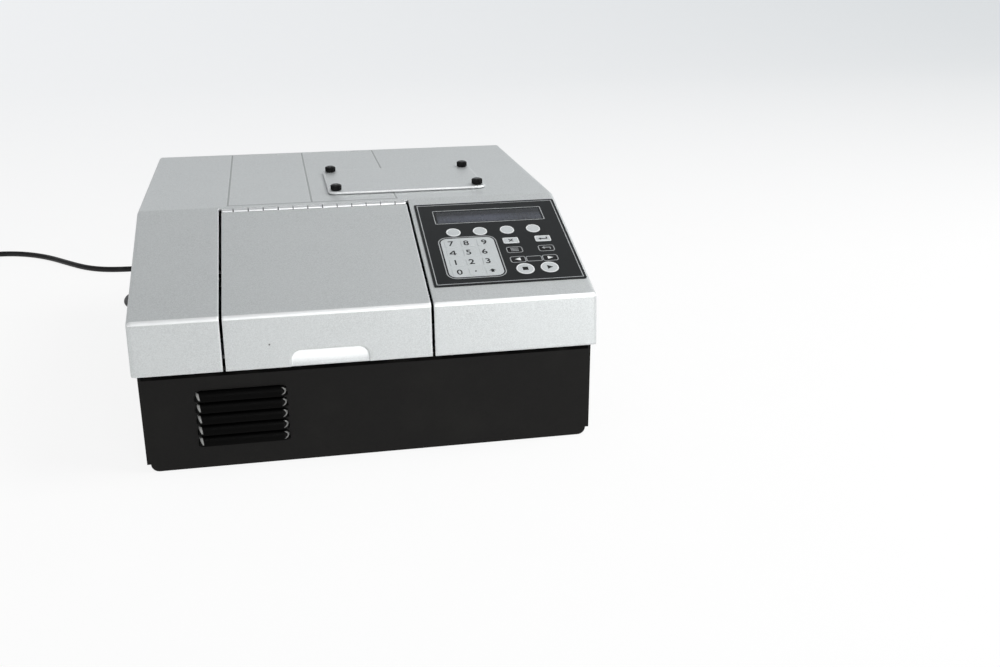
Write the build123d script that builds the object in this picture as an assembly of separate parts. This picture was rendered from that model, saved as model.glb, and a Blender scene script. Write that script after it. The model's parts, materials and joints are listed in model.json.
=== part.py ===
from build123d import *
import math
import os

os.makedirs("parts", exist_ok=True)

# A bench microplate reader. Millimetres: x to the right seen from the front, y to the back, z up from the bench.

# ---- driving dimensions: the case ----
WIDTH = 381.0  # silver cover, side to side
DEPTH = 419.0  # silver cover, front to back
TOP_HEIGHT = 182.5  # flat top above the bench
LIP_HEIGHT = 86.5  # lower edge of the cover
CREASE_HEIGHT = 130.5  # where the front face turns into the slope
CREASE_SETBACK = 3.5  # how far the front face leans back
RIDGE_SETBACK = 161.5  # where the slope turns into the flat top
COVER_WALL = 2.5
COVER_EDGE_R = 4.0
SHEET = 1.5  # black sheet metal of the base
BASE_INSET = 4.1  # base side, inside the cover's side
FRONT_PANEL_SETBACK = 6.5
REAR_PANEL_SETBACK = 8.0
SKIRT_HEIGHT = 7.5  # lower edge of the base above the bench
APRON_HEIGHT = 0.8  # lower edge of the front panel's apron
APRON_INSET = 3.0
APRON_CORNER_R = 6.5
FOOT_R = 9.0
FOOT_INSET_X = 30.0
FOOT_INSET_Y = 34.0
RUN_GAP = 0.3  # between pieces that move past each other
SEAT_GAP = 0.05  # between flat faces that are fastened together

# ---- front door and its piano hinge ----
DOOR_LEFT = -117.2
DOOR_RIGHT = 49.3
DOOR_GAP = 2.4
DOOR_FLANGE = 8.0
KNUCKLE_R = 2.4
KNUCKLES = 13
KNUCKLE_GAP = 1.0
PIN_R = 1.2
PIN_CLEARANCE = 0.05
LEAF = 1.05
HINGE_DROP = 6.0  # hinge line below the ridge, along the slope
LEAF_WIDTH = 20.0
SCOOP_WIDTH = 63.5
SCOOP_HEIGHT = 13.5
SCOOP_CORNER_R = 9.0
SCOOP_DEPTH = 5.0

# ---- top panels and the thumbscrewed plate ----
SEAM = 1.0
SEAM_LEFT = -111.7
SEAM_MIDDLE = -36.3
SEAM_RIGHT = 42.0
SEAM_FRONT_SETBACK = 4.5  # behind the ridge
SEAM_REAR_SETBACK = 8.5  # in front of the rear edge
LEDGE = 8.0
PROBE_PLATE = (150.8, 104.8, 2.0)
PROBE_PLATE_CENTRE = (56.1, 32.0)
PROBE_PLATE_LIFT = 1.0
PROBE_PLATE_CORNER_R = 8.0
KNOB_INSET = (7.5, 9.0)
KNOB_R = 5.2
KNOB_HEIGHT = 5.8
STUD_R = 2.0
STUD_CLEARANCE = 0.1

# ---- keypad, in the slope's own plane: across, and down from the ridge ----
OVERLAY = 0.8
OVERLAY_LEFT = 55.5
OVERLAY_RIGHT = 187.1
OVERLAY_TOP = 13.3
OVERLAY_BOTTOM = 143.7
KEY_PROUD = 0.3
KEY_TRAVEL = 0.3
KEY_CLEARANCE = 0.25
DISPLAY_BOX = (73.2, 169.4, 27.9, 46.1)
SOFT_KEY_R = 6.4
SOFT_KEY_DROP = 62.7
SOFT_KEYS_X = (84.5, 108.6, 133.3, 157.4)
DIGIT_PITCH = (14.5, 14.7)  # across, and down
DIGIT_KEY = 11.4
DIGIT_FIRST = (79.4, 80.7)
DIGIT_ROWS = (("7", "8", "9"), ("4", "5", "6"), ("1", "2", "3"), ("0", "point", "shift"))
BIG_KEY_R = 7.9
FUNCTION_KEYS = {  # name: (across, down, width, height)
    "clear_key": (133.3, 80.3, 14.2, 9.0),
    "enter_key": (162.6, 79.8, 14.2, 9.0),
    "menu_key": (133.7, 95.1, 12.6, 7.5),
    "previous_key": (162.4, 95.1, 12.6, 7.5),
    "left_key": (133.7, 110.3, 12.0, 7.4),
    "right_key": (162.4, 110.3, 12.0, 7.4),
}
BIG_KEYS = {"stop_key": (137.1, 125.0), "read_key": (158.6, 124.7)}
KEY_CORNER_R = 1.6

# ---- louvres pressed out of the front panel ----
LOUVRE_COUNT = 5
LOUVRE_PITCH = 9.78
LOUVRE_FIRST_HEIGHT = 21.6  # lower edge of the lowest one
LOUVRE_CENTRE_X = -107.2
LOUVRE_STRAIGHT = 64.0
LOUVRE_RISE = 5.2
LOUVRE_TALL = 8.4

# ---- plate transport ----
PLATE = (127.76, 85.48, 14.35)  # the standard microplate footprint
PLATE_CLEARANCE = 0.5
NEST_WALL = 4.0
NEST_FLOOR_HEIGHT = 93.0
NEST_DEPTH = 8.0
CARRIER_REST_Y = -135.0
CARRIER_TRAVEL_Y = 190.0
ROD_R = 4.0
ROD_HEIGHT = 66.0
RODS_X = (-148.0, 80.0)
BUSH_CLEARANCE = 0.05
SCREW_R = 3.0
SCREW_HEIGHT = 45.0
FRONT_BRACKET_Y = (-196.0, -190.0)
REAR_BRACKET_Y = (112.0, 118.0)
BRACKET_HALF = 9.0
MOTOR_SIZE = 42.0
MOTOR_Y = (118.05, 156.0)
MOTOR_BOSS_R = 11.0
CARRIAGE_HALF = 22.0  # half the bridge, along y
CARRIAGE_PLATE = 3.0
CARRIAGE_TOP = ROD_HEIGHT + 15
NUT_HALF = 9.0
RAIL_HALF = 6.0
RAIL_TALL = 5.0
BUSH = 12.0
SHOE_HALF = 32.0
NEST_CORNER_R = 5.0

# ---- optics ----
DECK_HEIGHT = 112.0
DECK = 3.0
WHEEL_R = 30.0
WHEEL = 4.0
WHEEL_HOLES = 6
WHEEL_HOLE_R = 5.5
WHEEL_HOLE_CIRCLE = 21.0
WHEEL_Y = 102.0
SHAFT_R = 2.5
WHEEL_MOTOR = 28.0
SHAFT_CLEARANCE = 0.05
BARREL_R = 9.0  # lens barrels of the lamp and the detector
BARREL_GAP = 3.5  # between a wheel and a barrel
POST_R = 5.0
POSTS_X = (-170.0, 105.0)
POSTS_Y = (-10.0, 165.0)
DECK_REAR_Y = 197.0
HEAD = (52.0, 36.0, 44.0)  # the probe head
PROBE_TIP_R = 6.0
LAMP_BOX = ((-112.0, -38.0), (113.0, 195.0))
LAMP_TOP = 174.0
LAMP_WALL = 3.0
LAMP_Y = 167.0
LAMP_SEAT_DROP = 12.0  # the bulb's foot below the light path
FINS = 7
FIN_PITCH = 11.0
FIN_REACH = 8.0
CAPSULE_R = 5.5
TUBE_R = 18.0
TUBE_BASE_R = 21.0

# ---- boards ----
BOARD = 1.6
BOARD_HEIGHT = 20.0
SPACER_R = 3.0
SUPPLY_X, SUPPLY_Y = (-158.0, -64.0), (122.0, 176.0)
MAIN_BOARD_X, MAIN_BOARD_Y = (112.0, 178.0), (-185.0, 160.0)

# ---- rear services ----
INLET_X, INLET_HEIGHT = -66.0, 40.0
ROCKER_X = -20.0
PORTS_X = 30.0
FAN_X, FAN_HEIGHT = 120.0, 46.0
FAN_SIZE, FAN_DEEP, FAN_BORE_R = 60.0, 25.0, 28.0
FAN_BLADES = 7
FAN_HUB_R = 13.5
FAN_PIN_R = 1.5
FAN_SLOTS = 8
FAN_SLOT_PITCH = 6.5
FAN_SLOT = 3.4
ROCKER_R = 8.2
ROCKER_TILT = 10.0
BEZEL_FLANGE = 2.0
CORD_R = 3.5

# ---- what follows from them ----
FRONT_Y = -DEPTH / 2
REAR_Y = DEPTH / 2
CREASE_Y = FRONT_Y + CREASE_SETBACK
RIDGE_Y = FRONT_Y + RIDGE_SETBACK
SLOPE = math.atan2(TOP_HEIGHT - CREASE_HEIGHT, RIDGE_Y - CREASE_Y)
LEAN = math.atan2(CREASE_SETBACK, CREASE_HEIGHT - LIP_HEIGHT)
BASE_X = WIDTH / 2 - BASE_INSET
BASE_FRONT_Y = FRONT_Y + FRONT_PANEL_SETBACK
BASE_REAR_Y = REAR_Y - REAR_PANEL_SETBACK
FLOOR_TOP = SKIRT_HEIGHT + SHEET
DOOR_X = (DOOR_LEFT + DOOR_RIGHT) / 2
DOOR_WIDTH = DOOR_RIGHT - DOOR_LEFT
PROBE_X, PROBE_Y = DOOR_X, CARRIER_REST_Y + CARRIER_TRAVEL_Y - 15.0
SEAM_FRONT_Y = RIDGE_Y + SEAM_FRONT_SETBACK
SEAM_REAR_Y = REAR_Y - SEAM_REAR_SETBACK
DECK_TOP = DECK_HEIGHT + DECK
WHEEL_HEIGHT = DECK_TOP + 1.5 + WHEEL_R
BEAM_OFFSET = 19.0  # each light path, beside the probe
EXCITATION_X = PROBE_X - BEAM_OFFSET - WHEEL_HOLE_CIRCLE
EMISSION_X = PROBE_X + BEAM_OFFSET + WHEEL_HOLE_CIRCLE

SLOPE_PLANE = Plane((0, RIDGE_Y, TOP_HEIGHT), x_dir=(1, 0, 0), z_dir=(0, -math.sin(SLOPE), math.cos(SLOPE)))
FACE_PLANE = Plane((0, FRONT_Y, LIP_HEIGHT), x_dir=(1, 0, 0), z_dir=(0, -math.cos(LEAN), math.sin(LEAN)))


def save(node, shape):
    solids = shape.solids()
    export_step(Compound(children=list(solids)) if len(solids) > 1 else solids[0], f"parts/{node}.step")


def block(x, y, z):
    """A box from its low and high values along each axis."""
    return Pos((x[0] + x[1]) / 2, (y[0] + y[1]) / 2, (z[0] + z[1]) / 2) * Box(x[1] - x[0], y[1] - y[0], z[1] - z[0])


def rod_y(x, z, y, r):
    """A round bar along y."""
    return Pos(x, (y[0] + y[1]) / 2, z) * Rot(90, 0, 0) * Cylinder(r, y[1] - y[0])


def rod_z(x, y, z, r):
    return Pos(x, y, (z[0] + z[1]) / 2) * Cylinder(r, z[1] - z[0])


def rod_x(y, z, x, r):
    return Pos((x[0] + x[1]) / 2, y, z) * Rot(0, 90, 0) * Cylinder(r, x[1] - x[0])


def section(points, x):
    """A closed outline in the y-z plane, drawn out between two x values."""
    face = Plane.YZ * make_face(Polyline(*points, close=True))
    return Pos(x[0], 0, 0) * extrude(face, x[1] - x[0])


def mitre(corner, normal_a, normal_b, inset):
    """The point inside a corner that is inset from both of its faces."""
    scale = inset / (1 + normal_a[0] * normal_b[0] + normal_a[1] * normal_b[1])
    return tuple(c - scale * (a + b) for c, a, b in zip(corner, normal_a, normal_b))


FACE_NORMAL = (-math.cos(LEAN), math.sin(LEAN))
SLOPE_NORMAL = (-math.sin(SLOPE), math.cos(SLOPE))
TOP_NORMAL = (0.0, 1.0)


def crease(inset):
    return mitre((CREASE_Y, CREASE_HEIGHT), FACE_NORMAL, SLOPE_NORMAL, inset)


def ridge(inset):
    return mitre((RIDGE_Y, TOP_HEIGHT), SLOPE_NORMAL, TOP_NORMAL, inset)


def on_slope(down, inset):
    """y and z of a place this far below the ridge along the slope and this far under its surface."""
    return (
        RIDGE_Y - down * math.cos(SLOPE) - inset * SLOPE_NORMAL[0],
        TOP_HEIGHT - down * math.sin(SLOPE) - inset * SLOPE_NORMAL[1],
    )


def on_face(height, inset):
    """y and z of a place on the leaning front face at this height above the bench."""
    return (
        FRONT_Y + (height - LIP_HEIGHT) * math.tan(LEAN) + inset / math.cos(LEAN),
        height,
    )


def hood(inset, lowest):
    """The cover's side view, moved inwards by inset and drawn down to a lowest height."""
    return [
        on_face(lowest, inset),
        crease(inset),
        ridge(inset),
        (REAR_Y - inset, TOP_HEIGHT - inset),
        (REAR_Y - inset, lowest),
    ]


# ---- the silver case ----
def top_cover():
    half = WIDTH / 2
    shell = section(hood(0, LIP_HEIGHT), (-half, half))
    above_lip = shell.edges().filter_by(lambda e: e.center().Z > LIP_HEIGHT + 0.01)
    shell = fillet(above_lip, COVER_EDGE_R)
    shell -= section(hood(COVER_WALL, LIP_HEIGHT - 1), (COVER_WALL - half, half - COVER_WALL))
    # The door opening runs from just behind the hinge down through the lower edge.
    hinge_edge = HINGE_DROP - KNUCKLE_R - 1.3
    doorway = [
        on_slope(hinge_edge, -10),
        on_slope(hinge_edge, 12),
        (on_slope(hinge_edge, 12)[0], LIP_HEIGHT - 1),
        (FRONT_Y - 10, LIP_HEIGHT - 1),
        (FRONT_Y - 10, TOP_HEIGHT),
    ]
    shell -= section(doorway, (DOOR_LEFT - DOOR_GAP, DOOR_RIGHT + DOOR_GAP))
    # Two panels lie flush in one opening, on ledges under its sides, middle and rear.
    ledge_z = (TOP_HEIGHT - COVER_WALL - SHEET, TOP_HEIGHT - COVER_WALL)
    front = SEAM_FRONT_Y + LEDGE + 2
    shell -= block(
        (SEAM_LEFT - SEAM / 2, SEAM_RIGHT + SEAM / 2),
        (SEAM_FRONT_Y - SEAM / 2, SEAM_REAR_Y + SEAM / 2),
        (TOP_HEIGHT - COVER_WALL - 1, TOP_HEIGHT + 1),
    )
    for x in (SEAM_LEFT, SEAM_MIDDLE, SEAM_RIGHT):
        shell += block((x - LEDGE, x + LEDGE), (front, REAR_Y - COVER_WALL), ledge_z)
    shell += block((SEAM_LEFT, SEAM_RIGHT), (SEAM_REAR_Y - LEDGE, REAR_Y - COVER_WALL), ledge_z)
    for x, y in stud_places():
        shell -= rod_z(x, y, (TOP_HEIGHT - 9, TOP_HEIGHT + 1), STUD_R + STUD_CLEARANCE)
    return shell


def top_panel(left, right):
    panel = block(
        (left + SEAM / 2, right - SEAM / 2),
        (SEAM_FRONT_Y + SEAM / 2, SEAM_REAR_Y - SEAM / 2),
        (TOP_HEIGHT - COVER_WALL, TOP_HEIGHT),
    )
    for x, y in stud_places():
        panel -= rod_z(x, y, (TOP_HEIGHT - 9, TOP_HEIGHT + 1), STUD_R + STUD_CLEARANCE)
    return panel


def stud_places():
    half_x, half_y = PROBE_PLATE[0] / 2 - KNOB_INSET[0], PROBE_PLATE[1] / 2 - KNOB_INSET[1]
    cx, cy = PROBE_PLATE_CENTRE
    return [(cx + i * half_x, cy + j * half_y) for i in (-1, 1) for j in (-1, 1)]


def probe_plate():
    """A removable plate with a narrower foot, so that its edge stands clear of the cover."""
    wide, deep, thick = PROBE_PLATE
    place = Pos(*PROBE_PLATE_CENTRE, TOP_HEIGHT)
    foot = extrude(RectangleRounded(wide - 6, deep - 6, PROBE_PLATE_CORNER_R - 3), PROBE_PLATE_LIFT)
    plate = extrude(RectangleRounded(wide, deep, PROBE_PLATE_CORNER_R), thick)
    plate = chamfer(plate.faces().sort_by(Axis.Z)[-1].edges(), 0.5)
    whole = place * (foot + Pos(0, 0, PROBE_PLATE_LIFT) * plate)
    for x, y in stud_places():
        whole -= rod_z(x, y, (TOP_HEIGHT - 1, TOP_HEIGHT + 9), STUD_R + STUD_CLEARANCE)
    return whole


def thumbscrews():
    base = TOP_HEIGHT + PROBE_PLATE_LIFT + PROBE_PLATE[2]
    screws = []
    for x, y in stud_places():
        knob = rod_z(x, y, (base, base + KNOB_HEIGHT), KNOB_R)
        knob = chamfer(knob.edges().sort_by(Axis.Z)[-1:], 1.0)
        screws.append(knob + rod_z(x, y, (base - 8, base + 1), STUD_R))
    return Compound(children=screws)


# ---- the door on its piano hinge ----
def knuckle_spans():
    """Left and right ends of each knuckle. The first and last are shorter, so that the row is centred."""
    pitch = DOOR_WIDTH / (KNUCKLES - 0.44)
    end = (DOOR_WIDTH - (KNUCKLES - 2) * pitch) / 2
    cuts = [DOOR_LEFT] + [DOOR_LEFT + end + i * pitch for i in range(KNUCKLES - 1)] + [DOOR_RIGHT]
    return [(a + KNUCKLE_GAP / 2, b - KNUCKLE_GAP / 2) for a, b in zip(cuts, cuts[1:])]


# The leaves lie against the inside of the cover and the door, and each is tangent to its knuckles.
LEAF_DEPTH = COVER_WALL + SEAT_GAP
HINGE_DEPTH = LEAF_DEPTH + LEAF - KNUCKLE_R
HINGE_Y, HINGE_Z = on_slope(HINGE_DROP, HINGE_DEPTH)


def hinge_leaf(outline, first, tab_reach):
    """A leaf with every second knuckle, each joined to it by a tab that is tangent to the knuckle."""
    leaf = section(outline, (DOOR_LEFT + 0.5, DOOR_RIGHT - 0.5))
    for a, b in knuckle_spans()[first::2]:
        tab = [
            on_slope(HINGE_DROP, LEAF_DEPTH),
            on_slope(HINGE_DROP + tab_reach, LEAF_DEPTH),
            on_slope(HINGE_DROP + tab_reach, LEAF_DEPTH + LEAF),
            on_slope(HINGE_DROP, LEAF_DEPTH + LEAF),
        ]
        leaf += section(tab, (a, b)) + rod_x(HINGE_Y, HINGE_Z, (a, b), KNUCKLE_R)
    return leaf - rod_x(HINGE_Y, HINGE_Z, (DOOR_LEFT - 1, DOOR_RIGHT + 1), PIN_R + PIN_CLEARANCE)


def hinge_frame_leaf():
    """Follows the inside of the ridge and carries the front edge of the top panels."""
    root = HINGE_DROP - KNUCKLE_R - RUN_GAP
    back = SEAM_FRONT_Y + LEDGE
    outline = [
        on_slope(root, LEAF_DEPTH),
        ridge(LEAF_DEPTH),
        (back, TOP_HEIGHT - LEAF_DEPTH),
        (back, TOP_HEIGHT - LEAF_DEPTH - LEAF),
        ridge(LEAF_DEPTH + LEAF),
        on_slope(root, LEAF_DEPTH + LEAF),
    ]
    return hinge_leaf(outline, 0, root - HINGE_DROP - 0.5)


def door_hinge_leaf():
    root = HINGE_DROP + KNUCKLE_R + RUN_GAP
    tip = HINGE_DROP + LEAF_WIDTH
    outline = [
        on_slope(root, LEAF_DEPTH),
        on_slope(tip, LEAF_DEPTH),
        on_slope(tip, LEAF_DEPTH + LEAF),
        on_slope(root, LEAF_DEPTH + LEAF),
    ]
    return hinge_leaf(outline, 1, root - HINGE_DROP + 0.5)


def hinge_pin():
    return rod_x(HINGE_Y, HINGE_Z, (DOOR_LEFT + 0.4, DOOR_RIGHT - 0.4), PIN_R)


def door_band(outer, inner, start, lowest, x):
    """The L-shaped section of the door between two depths under the case's surface."""
    band = [
        on_slope(start, outer),
        crease(outer),
        on_face(lowest, outer),
        on_face(lowest, inner),
        crease(inner),
        on_slope(start, inner),
    ]
    return section(band, x)


def scoop(margin, depth):
    """The finger scoop: deepest under its upper edge, level with the face at the door's lower edge."""
    wide, tall = SCOOP_WIDTH + 2 * margin, SCOOP_HEIGHT + margin
    below = 12.0
    outline = Pos(DOOR_X, (tall - below) / 2) * Rectangle(wide, tall + below)
    outline = fillet(outline.vertices().group_by(Axis.Y)[-1], SCOOP_CORNER_R + margin)
    column = FACE_PLANE * extrude(outline, 12, both=True)
    shallow = 0.6 + margin
    wedge = [
        on_face(LIP_HEIGHT, -3),
        on_face(LIP_HEIGHT + tall + 1, -3),
        on_face(LIP_HEIGHT + tall + 1, depth),
        on_face(LIP_HEIGHT, shallow),
    ]
    return column & section(wedge, (DOOR_X - wide, DOOR_X + wide))


def door_skin():
    start = HINGE_DROP + KNUCKLE_R + 0.8
    door = door_band(0, COVER_WALL, start, LIP_HEIGHT, (DOOR_LEFT, DOOR_RIGHT))
    upper = door.edges().filter_by(Axis.X).sort_by_distance((DOOR_X, CREASE_Y, CREASE_HEIGHT))[0]
    door = fillet(upper, COVER_EDGE_R)
    for a, b in ((DOOR_LEFT, DOOR_LEFT + SHEET), (DOOR_RIGHT - SHEET, DOOR_RIGHT)):
        flange_start, flange_end = HINGE_DROP + LEAF_WIDTH + 3, LIP_HEIGHT + SHEET + 2.5
        door += door_band(COVER_WALL - 0.5, COVER_WALL + DOOR_FLANGE, flange_start, flange_end, (a, b))
    face_inside = section(
        [
            on_face(LIP_HEIGHT, 0.5),
            on_face(CREASE_HEIGHT - 8, 0.5),
            on_face(CREASE_HEIGHT - 8, 20),
            on_face(LIP_HEIGHT, 20),
        ],
        (DOOR_LEFT, DOOR_RIGHT),
    )
    door += scoop(SHEET, SCOOP_DEPTH + SHEET) & face_inside
    return door - scoop(0, SCOOP_DEPTH)


# ---- keypad ----
def key_outlines():
    """Each key's outline in the slope's plane, with its name."""
    keys = {}
    for i, x in enumerate(SOFT_KEYS_X):
        keys[f"soft_key_{i + 1}"] = (x, SOFT_KEY_DROP, SOFT_KEY_R, None)
    for row, names in enumerate(DIGIT_ROWS):
        for column, name in enumerate(names):
            x = DIGIT_FIRST[0] + column * DIGIT_PITCH[0]
            keys[f"key_{name}"] = (x, DIGIT_FIRST[1] + row * DIGIT_PITCH[1], DIGIT_KEY, DIGIT_KEY)
    keys.update(FUNCTION_KEYS)
    for name, (x, down) in BIG_KEYS.items():
        keys[name] = (x, down, BIG_KEY_R, None)
    return keys


def key_sketch(key, margin):
    x, down, width, height = key
    if height is None:
        return Pos(x, -down) * Circle(width + margin)
    return Pos(x, -down) * RectangleRounded(width + 2 * margin, height + 2 * margin, KEY_CORNER_R + margin)


def display_sketch(margin):
    left, right, upper, lower = DISPLAY_BOX
    place = Pos((left + right) / 2, -(upper + lower) / 2)
    return place * Rectangle(right - left + 2 * margin, lower - upper + 2 * margin)


def keypad_overlay():
    """One membrane over the cover's slope, with an opening round every key and the display."""
    middle = Pos((OVERLAY_LEFT + OVERLAY_RIGHT) / 2, -(OVERLAY_TOP + OVERLAY_BOTTOM) / 2)
    sheet = middle * RectangleRounded(OVERLAY_RIGHT - OVERLAY_LEFT, OVERLAY_BOTTOM - OVERLAY_TOP, 1.5)
    sheet -= display_sketch(SEAT_GAP)
    for key in key_outlines().values():
        sheet -= key_sketch(key, KEY_CLEARANCE)
    return SLOPE_PLANE * extrude(sheet, OVERLAY)


def key_pad(key):
    low = KEY_TRAVEL + SEAT_GAP
    pad = extrude(key_sketch(key, 0), OVERLAY + KEY_PROUD - low)
    pad = chamfer(pad.faces().sort_by(Axis.Z)[-1].edges(), 0.2)
    return SLOPE_PLANE * Pos(0, 0, low) * pad


def display_window():
    return SLOPE_PLANE * extrude(display_sketch(0), OVERLAY - 0.1)


# ---- the black base ----
def base_pan():
    """One folded sheet: floor, two sides and a flange along each side that the cover sits over."""
    flange_x = WIDTH / 2 - COVER_WALL - RUN_GAP
    flange_z = LIP_HEIGHT + 6
    length = (BASE_FRONT_Y + SHEET, BASE_REAR_Y - SHEET)
    pan = block((-BASE_X, BASE_X), length, (SKIRT_HEIGHT, flange_z + SHEET))
    pan = fillet(pan.edges().filter_by(Axis.Y).group_by(Axis.Z)[0], 3.0)
    inside = block(
        (SHEET - BASE_X, BASE_X - SHEET),
        (length[0] - 1, length[1] + 1),
        (FLOOR_TOP, flange_z + SHEET + 1),
    )
    pan -= fillet(inside.edges().filter_by(Axis.Y).group_by(Axis.Z)[0], 3.0 - SHEET)
    for side in (-1, 1):
        low, high = sorted((side * (BASE_X - SHEET), side * flange_x))
        pan += block((low, high), length, (flange_z, flange_z + SHEET))
    return pan


def louvre(rise, tall, straight):
    """A pressed hood: a quarter ellipse drawn along the slot, turned round at both ends. Open below."""
    quarter = Plane.YZ * (Ellipse(rise, tall) & Pos(-rise / 2, tall / 2) * Rectangle(rise, tall))
    middle = Pos(-straight / 2, 0, 0) * extrude(quarter, straight)
    dome = revolve(quarter, Axis.Z, 360) & Pos(0, -rise / 2, tall / 2) * Box(3 * rise, rise, tall)
    return middle + Pos(-straight / 2, 0, 0) * dome + Pos(straight / 2, 0, 0) * dome


def front_panel():
    thick = (BASE_FRONT_Y, BASE_FRONT_Y + SHEET)
    panel = block((-BASE_X, BASE_X), thick, (SKIRT_HEIGHT, LIP_HEIGHT + SHEET))
    apron_x = BASE_X - APRON_INSET
    apron = block((-apron_x, apron_x), thick, (APRON_HEIGHT, SKIRT_HEIGHT + 1))
    panel += fillet(apron.edges().filter_by(Axis.Y).group_by(Axis.Z)[0], APRON_CORNER_R)
    flange_x = BASE_X - SHEET - SEAT_GAP
    panel += block((-flange_x, flange_x), (thick[0], thick[0] + 12), (LIP_HEIGHT, LIP_HEIGHT + SHEET))
    for i in range(LOUVRE_COUNT):
        place = Pos(LOUVRE_CENTRE_X, BASE_FRONT_Y, LOUVRE_FIRST_HEIGHT + i * LOUVRE_PITCH)
        panel += place * louvre(LOUVRE_RISE, LOUVRE_TALL, LOUVRE_STRAIGHT)
        inner = louvre(LOUVRE_RISE - 1.2, LOUVRE_TALL - 1.4, LOUVRE_STRAIGHT)
        panel -= place * inner
        reach = LOUVRE_STRAIGHT / 2 + LOUVRE_RISE - 1.2
        panel -= place * block((-reach, reach), (-0.01, SHEET + 1), (0, LOUVRE_TALL - 1.4))
    return panel


def rear_panel():
    thick = (BASE_REAR_Y - SHEET, BASE_REAR_Y)
    panel = block((-BASE_X, BASE_X), thick, (SKIRT_HEIGHT, LIP_HEIGHT + 6))
    for box in (inlet_body(0.1), rocker_bezel_body(0.1), *(port_body(p, 0.1) for p in ports())):
        panel -= box
    for i in range(FAN_SLOTS):
        z = (i - (FAN_SLOTS - 1) / 2) * FAN_SLOT_PITCH
        half = math.sqrt((FAN_BORE_R - 1) ** 2 - z**2)
        panel -= block(
            (FAN_X - half, FAN_X + half),
            (thick[0] - 1, thick[1] + 1),
            (FAN_HEIGHT + z - FAN_SLOT / 2, FAN_HEIGHT + z + FAN_SLOT / 2),
        )
    return panel


def rubber_feet():
    x, y = BASE_X - FOOT_INSET_X + BASE_INSET, DEPTH / 2 - FOOT_INSET_Y
    feet = []
    for i in (-1, 1):
        for j in (-1, 1):
            foot = Pos(i * x, j * y, SKIRT_HEIGHT / 2) * Cone(FOOT_R - 1, FOOT_R, SKIRT_HEIGHT)
            feet.append(fillet(foot.edges().sort_by(Axis.Z)[:1], 1.0))
    return Compound(children=feet)


# ---- rear services ----
def inlet_body(gap):
    return block(
        (INLET_X - 13.5 - gap, INLET_X + 13.5 + gap),
        (BASE_REAR_Y - 20, BASE_REAR_Y + 0.5),
        (INLET_HEIGHT - 10 - gap, INLET_HEIGHT + 10 + gap),
    )


def rocker_bezel_body(gap):
    return block(
        (ROCKER_X - 7.5 - gap, ROCKER_X + 7.5 + gap),
        (BASE_REAR_Y - 12, BASE_REAR_Y + 0.5),
        (INLET_HEIGHT - 11 - gap, INLET_HEIGHT + 11 + gap),
    )


def power_inlet():
    """The appliance inlet with its three blades, and the rocker switch's bezel."""
    flange = (BASE_REAR_Y, BASE_REAR_Y + BEZEL_FLANGE)
    inlet = inlet_body(0) + block((INLET_X - 16, INLET_X + 16), flange, (INLET_HEIGHT - 13, INLET_HEIGHT + 13))
    cavity = block(
        (INLET_X - 12.3, INLET_X + 12.3),
        (BASE_REAR_Y - 16, BASE_REAR_Y + 3),
        (INLET_HEIGHT - 8.3, INLET_HEIGHT + 8.3),
    )
    inlet -= fillet(cavity.edges().filter_by(Axis.Y).group_by(Axis.Z)[-1], 3.5)
    for x, z in blades():
        inlet += block((x - 1, x + 1), (BASE_REAR_Y - 17, BASE_REAR_Y - 2), (z - 2, z + 2))
    bezel = rocker_bezel_body(0) + block(
        (ROCKER_X - 9.5, ROCKER_X + 9.5), flange, (INLET_HEIGHT - 13, INLET_HEIGHT + 13)
    )
    bezel -= rod_x(BASE_REAR_Y, INLET_HEIGHT, (ROCKER_X - 6.2, ROCKER_X + 6.2), ROCKER_R + RUN_GAP)
    return Compound(children=[*inlet.solids(), *bezel.solids()])


def blades():
    return ((INLET_X, INLET_HEIGHT + 3.5), (INLET_X - 7, INLET_HEIGHT - 2.5), (INLET_X + 7, INLET_HEIGHT - 2.5))


def power_rocker():
    """A drum that turns in the bezel, with its two thumb faces meeting in a shallow V."""
    drum = Rot(0, 90, 0) * Cylinder(ROCKER_R, 12.4 - 2 * RUN_GAP)
    thumb = [(2.4, 0), (4.2, 9), (9, 9), (9, -9), (4.2, -9)]
    drum -= section(thumb, (-7, 7))
    return Pos(ROCKER_X, BASE_REAR_Y, INLET_HEIGHT) * Rot(ROCKER_TILT, 0, 0) * drum


def ports():
    """Each D-shaped socket on the rear panel: height, shell width, flange width."""
    return ((55.0, 39.0, 53.0), (28.0, 17.0, 31.0))


def port_body(port, gap):
    z, wide, _ = port
    return block(
        (PORTS_X - wide / 2 - gap, PORTS_X + wide / 2 + gap),
        (BASE_REAR_Y - 10, BASE_REAR_Y + 0.5),
        (z - 5 - gap, z + 5 + gap),
    )


def data_ports():
    sockets = []
    for port in ports():
        z, wide, flange = port
        plate = block((PORTS_X - flange / 2, PORTS_X + flange / 2), (BASE_REAR_Y, BASE_REAR_Y + 1), (z - 6.2, z + 6.2))
        nose = Polygon((-wide / 2, 4.2), (wide / 2, 4.2), (wide / 2 - 1.6, -4.2), (1.6 - wide / 2, -4.2), align=None)
        nose = fillet(nose.vertices(), 1.8)
        shell = Pos(PORTS_X, BASE_REAR_Y + 6, z) * Rot(90, 0, 0) * extrude(nose, 6, dir=(0, 0, 1))
        posts = [
            rod_y(PORTS_X + side * (flange / 2 - 3.2), z, (BASE_REAR_Y, BASE_REAR_Y + 5), 2.4) for side in (-1, 1)
        ]
        sockets.append(port_body(port, 0) + plate + shell + posts[0] + posts[1])
    return Compound(children=sockets)


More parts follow.
